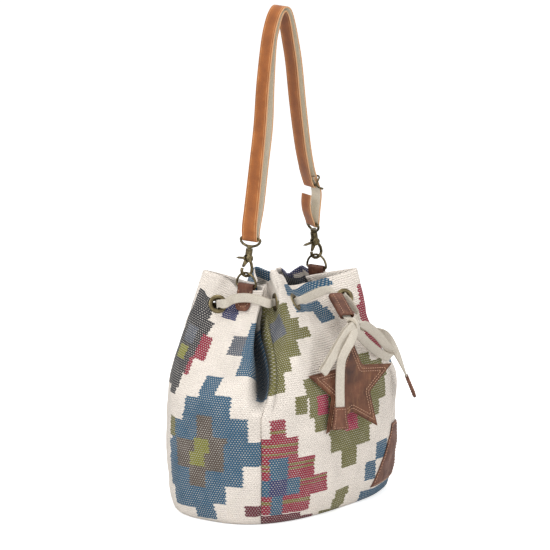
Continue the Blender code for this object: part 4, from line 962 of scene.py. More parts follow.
@dataclass(frozen=True)
class Leather:
    """Waxed cowhide: a fine pebbled grain, darker in the hollows and paler where it is rubbed."""

    name: str
    colour: str
    dark: str
    rubbed: str
    roughness: float = 0.55
    cloudy: float = 0.5
    # A painted shadow: the middle of a dark patch and its radius, in millimetres, or none.
    painted_shadow: Optional[tuple[float, float, float, float]] = None

    def build(self) -> bpy.types.Material:
        """Grain of about a millimetre, clouds of some centimetres and small scratches.

        Returns:
            The material.
        """
        g = Shader(self.name)
        where = g.add("TexCoord", out="Object")
        cloud = g.add("TexNoise", where, {"Scale": 42.0, "Detail": 4.0, "Roughness": 0.62})
        cloud = g.add("MapRange", cloud, 0.32, 0.68)
        stretched = g.add("Mapping", where, {"Scale": (1.0, 1.0, 0.25), "Rotation": (0.3, 0.5, 0.2)})
        scratch = g.add("TexNoise", stretched, {"Scale": 160.0, "Detail": 5.0, "Roughness": 0.72})
        scratch = g.add("MapRange", scratch, 0.5, 0.72)
        grain = g.add("TexVoronoi", where, {"Scale": 950.0}, feature="DISTANCE_TO_EDGE")
        grain = g.add("MapRange", grain, 0.0, 0.22)
        pores = g.add("TexNoise", where, {"Scale": 1500.0, "Detail": 2.0})
        shade = g.add("Math", cloud, self.cloudy, operation="MULTIPLY")
        colour = g.add("Mix", shade, {6: linear(self.colour), 7: linear(self.dark)}, out=2, data_type="RGBA")
        worn = g.add("Math", scratch, 0.5, operation="MULTIPLY")
        colour = g.add("Mix", worn, {6: colour, 7: linear(self.rubbed)}, out=2, data_type="RGBA")
        fine = g.add("MapRange", pores, 0.3, 0.7, 0.86, 1.1)
        # Painted shadow: a dark patch round a point, cloudy at its edge.
        if self.painted_shadow:
            away = g.add("VectorMath", where, tuple(c * MM for c in self.painted_shadow[:3]), out=1, operation="DISTANCE")
            near = g.add("MapRange", away, self.painted_shadow[3] * MM, 0.0)
            near = g.add("Math", near, cloud, operation="MULTIPLY")
            colour = g.add("Mix", near, {6: colour, 7: linear("#3B2B28")}, out=2, data_type="RGBA")
        colour = g.add("VectorMath", colour, {"Scale": fine}, operation="SCALE")
        rough = g.add("MapRange", cloud, 0.0, 1.0, self.roughness - 0.08, self.roughness + 0.14)
        height = g.add("Math", g.add("Math", grain, 0.6, operation="MULTIPLY"), pores, operation="ADD")
        return g.finish(colour, rough, height, 0.12, Specular_IOR_Level=0.4)


@dataclass(frozen=True)
class StrapLeather:
    """Vegetable tanned strap: burnished tan grain, creased near its edges, with pale cut edges."""

    name: str = "tan_strap_leather"
    grain: str = "#B0682E"
    dark: str = "#7C4218"
    rubbed: str = "#D9A46C"
    edge: str = "#D0A074"
    flesh: str = "#E6DDCB"
    wide: float = 20.0

    def build(self) -> bpy.types.Material:
        """Colour by the map's place across the section: grain, creases, edges and flesh side.

        Returns:
            The material.
        """
        g = Shader(self.name)
        where = g.add("TexCoord", out="Object")
        place = g.add("SeparateXYZ", g.add("UVMap", uv_map="cloth"), out=0)
        way = g.add("Math", place, operation="ABSOLUTE")
        cloud = g.add("TexNoise", where, {"Scale": 55.0, "Detail": 4.0, "Roughness": 0.6})
        shade = g.add("MapRange", cloud, 0.35, 0.7, 0.0, 0.7)
        colour = g.add("Mix", shade, {6: linear(self.grain), 7: linear(self.dark)}, out=2, data_type="RGBA")
        crease = g.add("Math", way, self.wide / 2 - 2.6, 0.45, operation="COMPARE")
        worn = g.add("MapRange", cloud, 0.3, 0.65, 0.75, 0.3)
        worn = g.add("Math", crease, worn, operation="MULTIPLY")
        middle = g.add("MapRange", way, 1.5, 7.0, 0.45, 0.0)
        colour = g.add("Mix", middle, {6: colour, 7: linear(self.dark)}, out=2, data_type="RGBA")
        colour = g.add("Mix", worn, {6: colour, 7: linear(self.rubbed)}, out=2, data_type="RGBA")
        flesh = g.add("Attribute", attribute_name="flesh", out="Fac", attribute_type="GEOMETRY")
        colour = g.add("Mix", flesh, {6: colour, 7: linear(self.flesh)}, out=2, data_type="RGBA")
        rim = g.add("MapRange", way, self.wide / 2 - 0.55, self.wide / 2 - 0.2)
        colour = g.add("Mix", rim, {6: colour, 7: linear(self.edge)}, out=2, data_type="RGBA")
        fibre = g.add("TexNoise", where, {"Scale": 800.0, "Detail": 3.0})
        tone = g.add("MapRange", fibre, 0.3, 0.7, 0.88, 1.1)
        colour = g.add("VectorMath", colour, {"Scale": tone}, operation="SCALE")
        height = g.add("Math", fibre, crease, operation="SUBTRACT")
        rough = g.add("MapRange", flesh, 0.0, 1.0, 0.42, 0.9)
        return g.finish(colour, rough, height, 0.12, Specular_IOR_Level=0.45)


@dataclass(frozen=True)
class AgedBrass:
    """Antique plated zinc casting: dark in the hollows, with worn yellow highs and a soft shine."""

    name: str = "aged_brass"
    dark: str = "#332C20"
    worn: str = "#786C50"

    def build(self) -> bpy.types.Material:
        """Patches of a few millimetres over a fine tumbled grain."""
        g = Shader(self.name)
        where = g.add("TexCoord", out="Object")
        patch = g.add("TexNoise", where, {"Scale": 260.0, "Detail": 3.0, "Roughness": 0.6})
        high = g.add("NewGeometry", out="Pointiness")
        high = g.add("MapRange", high, 0.49, 0.56)
        patch = g.add("MapRange", patch, 0.35, 0.65)
        worn = g.add("Math", patch, high, operation="MAXIMUM")
        colour = g.add("Mix", worn, {6: linear(self.dark), 7: linear(self.worn)}, out=2, data_type="RGBA")
        rough = g.add("MapRange", patch, 0.0, 1.0, 0.42, 0.26)
        return g.finish(colour, rough, patch, 0.03, Metallic=1.0)


@dataclass(frozen=True)
class FlatLace:
    """Flat braided cotton lace: close herringbone of undyed thread, slightly shiny where it bends."""

    name: str = "braided_cotton_lace"
    colour: str = "#E9E1D4"
    shade: str = "#B3A896"

    def build(self) -> bpy.types.Material:
        """Braid strands that cross every 1.6 mm on the map, coarser than the real ones, with painted shade between
        them and along the edges.
        """
        g = Shader(self.name)
        place = g.add("SeparateXYZ", g.add("UVMap", uv_map="cloth"), out=0)
        lean = g.add("Math", place, operation="ABSOLUTE")
        lean = g.add("Math", lean, place.node.outputs[1], operation="ADD")
        strand = g.add("Math", lean, 0.8, operation="PINGPONG")
        strand = g.add("Math", strand, 1.25, operation="MULTIPLY")
        where = g.add("TexCoord", out="Object")
        fuzz = g.add("TexNoise", where, {"Scale": 700.0, "Detail": 3.0})
        # Painted shade between the braid's strands: where the strands meet, the colour turns to the shade colour.
        mix = g.add("Math", strand, fuzz, operation="MULTIPLY")
        mix = g.add("MapRange", mix, 0.0, 0.5)
        # Painted shade along the lace's edges.
        edge_shade = g.add("MapRange", g.add("Math", place, operation="ABSOLUTE"), 4.3, 5.4, 1.0, 0.25)
        mix = g.add("Math", mix, edge_shade, operation="MULTIPLY")
        colour = g.add("Mix", mix, {6: linear(self.shade), 7: linear(self.colour)}, out=2, data_type="RGBA")
        return g.finish(colour, 0.82, strand, 0.22, Sheen_Weight=0.1)


@dataclass(frozen=True)
class Thread:
    """Waxed linen sewing thread."""

    name: str = "waxed_thread"
    colour: str = "#C79C80"

    def build(self) -> bpy.types.Material:
        """A twist that is drawn as fine noise."""
        g = Shader(self.name)
        twist = g.add("TexNoise", g.add("TexCoord", out="Object"), {"Scale": 1400.0})
        tone = g.add("MapRange", twist, 0.0, 1.0, 0.8, 1.15)
        colour = g.add("VectorMath", linear(self.colour)[:3], {"Scale": tone}, operation="SCALE")
        return g.finish(colour, 0.7)


def motifs() -> dict[Panel, tuple[Field, ...]]:
    """The stepped medallions and crosses of each panel, as they are woven.

    Returns:
        The fields of each panel; the panels that face away carry the mirrored ones.
    """
    left = (
        Field(Dye.BLUE, ((6, 76, 106), (18, 42, 104), (27, 42, 120), (41, 34, 120), (50, 32, 141), (76, 35, 165),
                         (96, 41, 165), (104, 44, 147), (122, 62, 147), (132, 64, 127), (152, 82, 127),
                         (158, 80, 104)), 183),
        Field(Dye.TAUPE, ((45, 70, 93), (66, 50, 118), (100, 82, 122), (107, 83, 105)), 132),
        Field(Dye.LIME, ((70, 71, 92), (86, 78, 99)), 104),
        Field(Dye.CHARCOAL, ((149, 26, 44), (158, 10, 46), (176, 8, 50), (198, 10, 54), (222, 12, 58),
                             (245, 14, 45)), 274),
        Field(Dye.LIME, ((190, 20, 38),), 207),
        Field(Dye.SLATE, ((211, 22, 42),), 231),
        Field(Dye.RED, ((175, 48, 54), (198, 52, 68)), 228),
        Field(Dye.OLIVE, ((100, 36, 48),), 124),
        Field(Dye.BLUE, ((156, 152, 176), (186, 121, 176), (213, 96, 176), (239, 117, 176)), 256),
        Field(Dye.SLATE, ((213, 96, 118),), 239),
        Field(Dye.NAVY, ((256, 60, 90),), 280),
        Field(Dye.MAROON, ((13, 143, 163),), 27),
    )
    front = (
        Field(Dye.RED, ((15, -13.5, 52), (35, -13.5, 80), (57, -13.5, 58), (81, -13.5, 32), (107, -3, 16)), 130,
              ((28, 32), (47, 48.6), (52, 54.5), (69, 71), (73, 76.5), (87, 90), (97, 100), (113, 117))),
        Field(Dye.BLUE, ((14, -2, 13), (38, -13, 36), (58, -4, 19)), 84),
        Field(Dye.NAVY, ((38, -4, 18),), 58),
        Field(Dye.MAROON, ((0.5, -14, 62), (8, -14, 40)), 14),
        Field(Dye.OLIVE, ((160, -14, 17), (183, -14, 30), (200, -14, 52), (218, -14, 80), (232, -14, 66),
                          (244, -14, 57), (264, -14, 40), (272, -14, 18)), 284),
        Field(Dye.SLATE, ((228, 0, 36),), 256),
        Field(Dye.OLIVE, ((132, 30, 47),), 153),
        Field(Dye.OLIVE, ((56, 106, 134), (78, 86, 161), (98, 83, 166), (107, 58, 184), (125, 50, 200),
                          (150, 46, 208), (160, 45, 200), (172, 153, 175)), 183),
        Field(Dye.CRIMSON, ((98, 114, 138),), 120),
        Field(Dye.CRIMSON, ((126, 64, 84),), 150),
        Field(Dye.BLUE, ((0.5, 152, 246),), 17),
        Field(Dye.BLUE, ((30, 155, 178), (52, 178, 205)), 73),
        Field(Dye.OLIVE, ((0.5, 72, 112), (9, 92, 119), (21, 97, 124)), 31),
        Field(Dye.RED, ((179, 190, 230), (192, 178, 230), (209, 180, 230), (232, 172, 230), (241, 186, 230)), 263),
        Field(Dye.BLUE, ((232, 118, 145), (250, 66, 140)), 262),
        Field(Dye.BLUE, ((272, 64, 160),), 286),
    )
    right = tuple(f.mirrored(176.0) for f in left) + (
        Field(Dye.SLATE, ((255, 100, 150),), 284),
        Field(Dye.NAVY, ((273, 150, 176), (283, 130, 176), (290, 110, 176), (293, 85, 176)), 300),
        Field(Dye.MAROON, ((290, 4, 18),), 299),
    )
    back = tuple(f.mirrored(245.6) for f in front)
    return {Panel.LEFT: left, Panel.FRONT: front, Panel.RIGHT: right, Panel.BACK: back}


@dataclass(frozen=True)
class Finishes:
    """The built materials of the bag."""

    panels: dict[Panel, bpy.types.Material]
    base: bpy.types.Material
    lining: bpy.types.Material
    brass: bpy.types.Material
    strap: bpy.types.Material
    brown: bpy.types.Material
    star: bpy.types.Material
    lace: bpy.types.Material
    thread: bpy.types.Material

    @classmethod
    def build(cls) -> "Finishes":
        """Build every material once."""
        fields = motifs()
        return cls(
            panels={p: WovenCotton(f"woven_{p.value}", fields[p]).build() for p in Panel},
            base=PlainCotton("woven_base", "#B9AD9E").build(),
            lining=PlainCotton().build(),
            brass=AgedBrass().build(),
            strap=StrapLeather().build(),
            brown=Leather("brown_leather", "#714431", "#3A231B", "#A37456", 0.5, 0.8).build(),
            # The star carries a painted shadow below the knot, where the bow's front tail shades it.
            star=Leather("star_leather", "#77482F", "#3E271D", "#A5764F", 0.52, 0.8,
                         (-12.0, -112.0, 176.0, 26.0)).build(),
            lace=FlatLace().build(),
            thread=Thread().build())


# ---------------------------------------------------------------- making pieces


def rows_object(name: str, rows: Sequence[Array], joined: bool = False, sharp: float = 60.0) -> bpy.types.Object:
    """Skin closed rows of points, with ends that are capped or joined.

    Args:
        name: The object's name.
        rows: Loops with the same number of points.
        joined: Whether the last row meets the first.
        sharp: The angle above which an edge stays sharp, in degrees.

    Returns:
        The closed piece.
    """
    faces = skin(len(rows[0]), len(rows), joined)
    return keep_sharp(mesh_object(name, np.concatenate(rows), faces), sharp)


def quilted(name: str, outer: Array, inner: Array, uvs: Optional[Array] = None,
            kept: Optional[Array] = None, hollow: Optional[Array] = None) -> bpy.types.Object:
    """Close a sheet between two grids, with walls round its border and round its holes.

    Args:
        name: The object's name.
        outer: The outer face's points by row and column.
        inner: The inner face's points.
        uvs: The map of both faces.
        kept: Which cells are kept, or all.
        hollow: How deep in a fold each point is, from 0 to 1, kept as the attribute "hollow" for the painted shade in
            the fold.

    Returns:
        The closed sheet.
    """
    rows, columns = outer.shape[:2]
    if kept is None:
        kept = np.ones((rows - 1, columns - 1), bool)
    half = rows * columns
    number = np.arange(half).reshape(rows, columns)
    faces = []
    for r, c in zip(*np.nonzero(kept)):
        ring = (number[r, c], number[r, c + 1], number[r + 1, c + 1], number[r + 1, c])
        faces.append(tuple(int(n) for n in ring))
        faces.append(tuple(int(n) + half for n in reversed(ring)))
        beyond = ((r - 1, c), (r, c + 1), (r + 1, c), (r, c - 1))
        for k, (i, j) in enumerate(beyond):
            inside = 0 <= i < rows - 1 and 0 <= j < columns - 1
            if not (inside and kept[i, j]):
                a, b = int(ring[k]), int(ring[(k + 1) % 4])
                faces.append((b, a, a + half, b + half))
    points = np.concatenate([outer.reshape(-1, 3), inner.reshape(-1, 3)])
    used = sorted({n for face in faces for n in face})
    renumber = {n: i for i, n in enumerate(used)}
    faces = [tuple(renumber[n] for n in face) for face in faces]
    both = None if uvs is None else np.concatenate([uvs.reshape(-1, 2)] * 2)[used]
    made = mesh_object(name, points[used], faces, both)
    if hollow is not None:
        mark(made, "hollow", np.concatenate([hollow.ravel()] * 2)[used])
    return made


@dataclass
class Workshop:
    """Hands out finished pieces: it puts a finish on each, fixes it to its body and hides the imported solids that it
    stands for.
    """

    finishes: Finishes
    made: int = 0

    def give(self, piece: bpy.types.Object, material: bpy.types.Material, slot: str, body: str,
             *nodes: str) -> bpy.types.Object:
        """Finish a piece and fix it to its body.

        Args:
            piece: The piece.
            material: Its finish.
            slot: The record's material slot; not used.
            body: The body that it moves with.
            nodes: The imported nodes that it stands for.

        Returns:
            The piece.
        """
        piece.data.materials.clear()
        piece.data.materials.append(material)
        if nodes:
            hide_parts(*nodes)
        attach(piece, body)
        self.made += 1
        return piece

    def keep(self, node: str, material: bpy.types.Material) -> bpy.types.Object:
        """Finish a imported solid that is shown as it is."""
        piece = bpy.data.objects[node]
        piece.data.materials.clear()
        piece.data.materials.append(material)
        return keep_sharp(piece, 35)


# ---------------------------------------------------------------- the cloth body


@dataclass
class ClothBody:
    """Four panels with their hems, the base, the lining, the eyelets and the leather patch."""

    shop: Workshop
    form: ClothForm
    cloth: float = 1.6
    hem: float = 18.0
    hem_extra: float = 0.35
    hole: float = 8.3
    patch_columns: tuple[float, float] = (15.2, 21.6)
    patch_heights: tuple[float, float] = (17.0, 84.0)
    patch_slant: float = 4.6
    patch_thick: float = 1.6
    patch_gap: float = 0.35
    patch_bevel: float = 0.45

    def build(self) -> None:
        """Make all the pieces of the body."""
        for panel in Panel:
            self.panel(panel)
        self.base()
        self.lining()
        self.eyelets()
        self.patch()

    def panel(self, panel: Panel) -> None:
        """One woven panel: an even sheet, thicker in its hem, with a hole under each eyelet."""
        points, normals, across, up = self.form.sheet(panel)
        below = up[-1] - up
        half = np.full(up.shape, self.cloth / 2)
        half += self.hem_extra * np.clip((self.hem - below) / 1.2, 0, 1)
        half[-1] *= 0.45
        half[0] *= 0.6
        middle = points - normals * (self.cloth / 2)
        outer, inner = middle + normals * half[..., None], middle - normals * half[..., None]
        gone = np.zeros(points.shape[:2], bool)
        for centre, _ in self.form.holes:
            gone |= np.linalg.norm(middle - centre, axis=2) < self.hole
        kept = ~(gone[:-1, :-1] | gone[1:, :-1] | gone[:-1, 1:] | gone[1:, 1:])
        piece = quilted(panel.value + "_cloth", outer, inner, np.stack([across, up], 2), kept, self.form.hidden(panel))
        self.shop.give(piece, self.shop.finishes.panels[panel], "woven_cotton", "bag", panel.value)

    def base(self) -> None:
        """The oval base inside the lower edge."""
        rows, (_, wide, deep) = [], self.form.outlines[0]
        for inset, height in ((2.6, 0.0), (2.1, 0.3), (2.0, 1.0), (2.1, 1.7), (2.6, 2.0)):
            rows.append(np.array([(*self.form.outline(t, wide - inset, deep - inset), height)
                                  for t in np.linspace(0, 2 * math.pi, 180, endpoint=False)]))
        self.shop.give(rows_object("base_cloth", rows), self.shop.finishes.base, "woven_cotton", "bag", "base_panel")

    def lining(self) -> None:
        """A thin cotton cup that ends below the eyelets."""
        cups = []
        top = int(np.searchsorted(self.form.levels, 8.0))
        start = int(np.searchsorted(self.form.levels, 2.0))
        inside = self.form.inside
        normals = self.form.normals_of(inside)
        for depth, floor in ((5.0, 2.4), (5.5, 2.9)):
            ring = np.array([(*self.form.outline(t, 122.0, 66.0), floor)
                             for t in np.interp(np.arange(420) / 420, self.form.along, self.form.turns)])
            rows = [ring * [k, k, 1] for k in (0.05, 0.5, 1.0)]
            for r in range(start, top + 1, 2):
                rows.append(inside[r] - normals[r] * depth)
            cups.append(rows)
        outer, inner = cups
        piece = rows_object("lining_cup", outer + inner[::-1])
        self.shop.give(piece, self.shop.finishes.lining, "lining_cotton", "bag", "lining")

    def eyelets(self) -> None:
        """Rolled brass eyelets and the washers behind the cloth."""
        rim = ((11.0, 0.3), (10.95, 0.85), (10.4, 1.35), (9.3, 1.72), (8.0, 1.78), (6.9, 1.4), (6.15, 0.6),
               (5.9, -0.6), (5.9, -3.2), (6.55, -3.2), (6.55, 0.3))
        washer = ((10.5, -1.9), (10.3, -2.4), (9.4, -2.7), (6.9, -2.9), (6.9, -1.9))
        for i, (centre, normal) in enumerate(self.form.holes):
            for kind, profile in (("eyelet", rim), ("eyelet_washer", washer)):
                piece = lathe(f"{kind}_turned_{i + 1}", profile, stand(centre, normal), 56)
                self.shop.give(piece, self.shop.finishes.brass, "antique_brass", "bag", f"{kind}_{i + 1}")

    def patch(self) -> None:
        """The bare leather patch that is sewn low on the front panel."""
        low, high = self.patch_heights
        top = self.patch_gap + self.patch_thick
        grids, lines = {self.patch_gap: [], top: []}, []
        rows, columns = 34, 40
        for i in range(rows):
            share = i / (rows - 1)
            left = self.patch_columns[0] + self.patch_slant * share
            spots = [self.form.spot(Panel.FRONT, left + (self.patch_columns[1] - left) * j / (columns - 1),
                                    low + (high - low) * share) for j in range(columns)]
            for depth, grid in grids.items():
                rim = [depth == top and (i in (0, rows - 1) or j in (0, columns - 1)) for j in range(columns)]
                grid.append([p + n * (depth - self.patch_bevel * cut) for cut, (p, n) in zip(rim, spots)])
            lines.append(spots)
        piece = quilted("patch_leather", np.array(grids[top]), np.array(grids[self.patch_gap]))
        finishes = self.shop.finishes
        self.shop.give(piece, finishes.brown, "brown_leather", "bag", "side_patch")
        way = ([lines[1][j] for j in range(1, columns - 1)] + [lines[i][columns - 2] for i in range(2, rows - 1)]
               + [lines[rows - 2][j] for j in range(columns - 3, 0, -1)]
               + [lines[i][1] for i in range(rows - 3, 1, -1)])
        seam = stitches("patch_stitches", np.array([p + n * top for p, n in way]), np.array([n for _, n in way]))
        self.shop.give(seam, finishes.thread, "brown_leather", "bag")


# ---------------------------------------------------------------- rings, hooks and strap


@dataclass
class RingTab:
    """A leather strip folded over the bar of a D-ring and sewn through the cloth."""

    shop: Workshop
    name: str
    side: float
    long: float = 26.0
    thick: float = 1.5
    gap: float = 0.3
    bar: float = 266.5

    def build(self) -> None:
        """Fold the strip, sew it and hang the ring."""
        half, gap, side = self.thick / 2, self.gap, self.side
        angle = math.atan(TAB_LEAN)
        out = np.array([side * math.cos(angle), 0, math.sin(angle)])
        down = np.array([side * math.sin(angle), 0, -math.cos(angle)])
        rim, bar = np.array([side * TAB_X, 0, TAB_RIM]), np.array([side * (TAB_X - 1.0), 0, self.bar])
        face, back, wrap = gap + half + 0.2, -(1.6 + gap + half + 0.2), 1.4 + gap + half
        stops = [(rim + out * face + down * drop, wide) for drop, wide in
                 ((self.long, 8.0), (self.long - 0.8, 12.5), (self.long - 2.5, 17.0), (self.long - 6.0, 20.4),
                  (self.long - 11.0, TAB_WIDE), (8.0, TAB_WIDE), (1.0, TAB_WIDE))]
        for turn in (-20, 20, 60, 90, 120, 160, 200):
            radian = math.radians(turn)
            stops.append((bar + wrap * np.array([side * math.cos(radian), 0, math.sin(radian)]), TAB_WIDE))
        stops += [(rim + out * back + down * drop, TAB_WIDE) for drop in (1.0, 9.0, 17.0)]
        line = through([p for p, _ in stops], 5)
        wide = through([(w, 0.0) for _, w in stops], 5)[:, 0]
        leather = ribbon(self.name + "_leather", line, np.tile([0.0, 1.0, 0.0], (len(line), 1)), wide, self.thick,
                         36, 9.0)
        finishes = self.shop.finishes
        self.shop.give(leather, finishes.brown, "brown_leather", "bag", self.name + "_ring_tab")
        sewn_at = rim + out * (face + half)
        corners = [(1.5, -8.2), (13.0, -8.2), (18.5, -6.4), (21.6, 0.0), (18.5, 6.4), (13.0, 8.2), (1.5, 8.2)]
        seam = through([sewn_at + down * d + np.array([0, y, 0]) for d, y in corners], 6)
        sewn = stitches(self.name + "_tab_stitches", seam, np.tile(out, (len(seam), 1)), 2.4, 1.0, 0.34)
        self.shop.give(sewn, finishes.thread, "brown_leather", "bag")
        ring = recast(self.name + "_ring_wire", self.name + "_d_ring", 0.34, 5)
        self.shop.give(ring, finishes.brass, "antique_brass", self.name + "_ring", self.name + "_d_ring")


@dataclass
class SnapHook:
    """A trigger snap hook with its gate, pin, spring and swivel eye."""

    shop: Workshop
    name: str
    side: float
    turn: float
    ring_x: float = 69.0
    ring_top: float = 282.2
    eye_x: float = 60.5
    eye_height: float = 322.0
    eye_low: float = 31.0

    def __post_init__(self) -> None:
        """Find the hook's own upward direction."""
        self.zero = np.array([self.side * self.ring_x, 0, self.ring_top])
        self.up = unit(np.array([self.side * self.eye_x, 0, self.eye_height]) - self.zero)

    def bar_along(self) -> Array:
        """The direction of the eye's upper bar."""
        turn = math.radians(self.turn)
        along = np.array([math.sin(turn), math.cos(turn), 0])
        return unit(along - self.up * (along @ self.up))

    def eye_bar(self) -> Array:
        """The middle of the eye's upper bar, where the strap turns."""
        return self.zero + self.up * (self.eye_low + 9.6)

    def build(self) -> None:
        """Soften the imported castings, and keep the pin and the spring."""
        brass, name = self.shop.finishes.brass, self.name
        for kind, body in (("hook_body", f"{name}_hook"), ("gate", f"{name}_gate"), ("swivel_eye", "strap")):
            cast = recast(f"{name}_{kind}_cast", f"{name}_{kind}", 0.26, 4)
            self.shop.give(cast, brass, "antique_brass", body, f"{name}_{kind}")
        self.shop.keep(f"{name}_gate_pin", brass)
        self.shop.keep(f"{name}_gate_spring", brass)


@dataclass
class ShoulderStrap:
    """One leather strap, doubled through the slider and round both eyes."""

    shop: Workshop
    left: SnapHook
    right: SnapHook
    wide: float = 20.0
    thick: float = 2.0
    outer: tuple[tuple[float, float], ...] = (
        (-63.0, 336.0), (-58.8, 358.7), (-50.5, 405.0), (-42.5, 451.5), (-37.1, 498.7), (-28.6, 545.5),
        (-21.4, 568.0), (-13.5, 581.5), (-4.0, 587.5), (6.5, 583.0), (14.0, 568.0), (20.5, 548.0),
        (28.5, 517.0), (36.7, 468.0), (46.5, 419.0), (53.5, 394.0))
    inner: tuple[tuple[float, float], ...] = (
        (43.5, 392.0), (36.0, 418.7), (26.2, 468.2), (18.6, 517.0), (12.0, 545.0), (6.7, 565.0),
        (1.5, 578.0), (-5.0, 582.8), (-11.8, 576.0), (-16.8, 564.0), (-22.6, 545.5), (-27.0, 498.7),
        (-29.8, 451.5), (-38.5, 405.0), (-47.6, 358.7), (-55.6, 334.0))
    turns: tuple[tuple[float, float], ...] = (
        (-63.0, -5.0), (-43.0, 7.0), (0.0, 8.0), (30.0, 13.0), (50.0, 20.0), (60.0, 24.0))
    slider: tuple[float, float] = (56.5, 369.0)
    slider_lean: float = 19.0
    slider_turn: float = 20.0
    slider_bar: float = 1.2
    eye_bar: float = 1.6
    gap: float = 0.3
    sides: int = 28
    square: float = 11.0

    @staticmethod
    def facing(degrees: float) -> tuple[Array, Array]:
        """The directions through and across a strap that is turned about the vertical."""
        c, s = math.cos(math.radians(degrees)), math.sin(math.radians(degrees))
        return np.array([c, -s, 0]), np.array([s, c, 0])

    def at_slider(self, along: float, out: float) -> tuple[Array, Array]:
        """A point at the slider, and the strap's width there."""
        c, s = math.cos(math.radians(self.slider_lean)), math.sin(math.radians(self.slider_lean))
        way, side = self.facing(self.slider_turn)
        x, z = self.slider
        return np.array([x, 0, z + along * c + out * s]) + way * (out * c - along * s), side

    def at_eye(self, hook: SnapHook, out: float, rise: float) -> tuple[Array, Array]:
        """A point by the bar of a swivel eye, and the strap's width there."""
        way, _ = self.facing(hook.turn)
        side = hook.bar_along()
        near = min(rise, 4.0)
        return hook.eye_bar() + way * out + np.cross(way, side) * near + np.array([0, 0, rise - near]), side

    def leg(self, points: Sequence[tuple[float, float]]) -> list[tuple[Array, Array]]:
        """Points of a long leg, each with the strap's width."""
        places, degrees = zip(*self.turns)
        return [(np.array([x, 0, z]), self.facing(float(np.interp(x, places, degrees)))[1]) for x, z in points]

    def path(self) -> list[tuple[Array, Array]]:
        """The strap's whole way: sewn on the slider, round the left eye, through it, round the right eye."""
        wrap = self.slider_bar + self.gap + self.thick / 2
        line = [self.at_slider(9.0, wrap - 0.2), self.at_slider(4.0, wrap)]
        line += [self.at_slider(wrap * math.sin(a), wrap * math.cos(a)) for a in np.radians((0, -45, -90, -135, -180))]
        line += [self.at_slider(9.0, -wrap - 0.2)] + self.leg(self.inner)
        wrap = self.eye_bar + self.gap + self.thick / 2
        line += [self.at_eye(self.left, wrap * math.cos(a), wrap * math.sin(a))
                 for a in np.radians((15, -25, -65, -105, -145, -185))]
        line += self.leg(self.outer)
        over = self.slider_bar + self.gap + self.thick + self.gap + self.thick / 2 + 0.1
        line += [self.at_slider(12.0, over + 0.2), self.at_slider(0.0, over), self.at_slider(-13.0, over - 0.2)]
        line.append(self.at_eye(self.right, wrap + 1.0, 14.0))
        line += [self.at_eye(self.right, wrap * math.cos(a), wrap * math.sin(a))
                 for a in np.radians((10, -30, -70, -110, -150, -190))]
        line += [self.at_eye(self.right, *place) for place in ((-7.5, 13.0), (-9.0, 24.0), (-8.2, 35.0))]
        return line

    def build(self) -> None:
        """Lay the strap, colour its flesh side, and put the slider on it."""
        spots = self.path()
        line = through([p for p, _ in spots], 6)
        side = through([a for _, a in spots], 6)
        line, side = evenly(line, 1.3, side)
        strap = ribbon("strap_leather", line, side, [self.wide] * len(line), self.thick, self.sides, self.square)
        inside = np.tile(rounded(self.wide, self.thick, self.sides, self.square)[:, 1] < -0.2, len(line))
        mark(strap, "flesh", inside)
        finishes = self.shop.finishes
        self.shop.give(strap, finishes.strap, "tan_leather", "strap", "shoulder_strap")
        slider = recast("slider_cast", "strap_slider", 0.26, 4)
        self.shop.give(slider, finishes.brass, "antique_brass", "strap", "strap_slider")


# ---------------------------------------------------------------- lace, bow and star


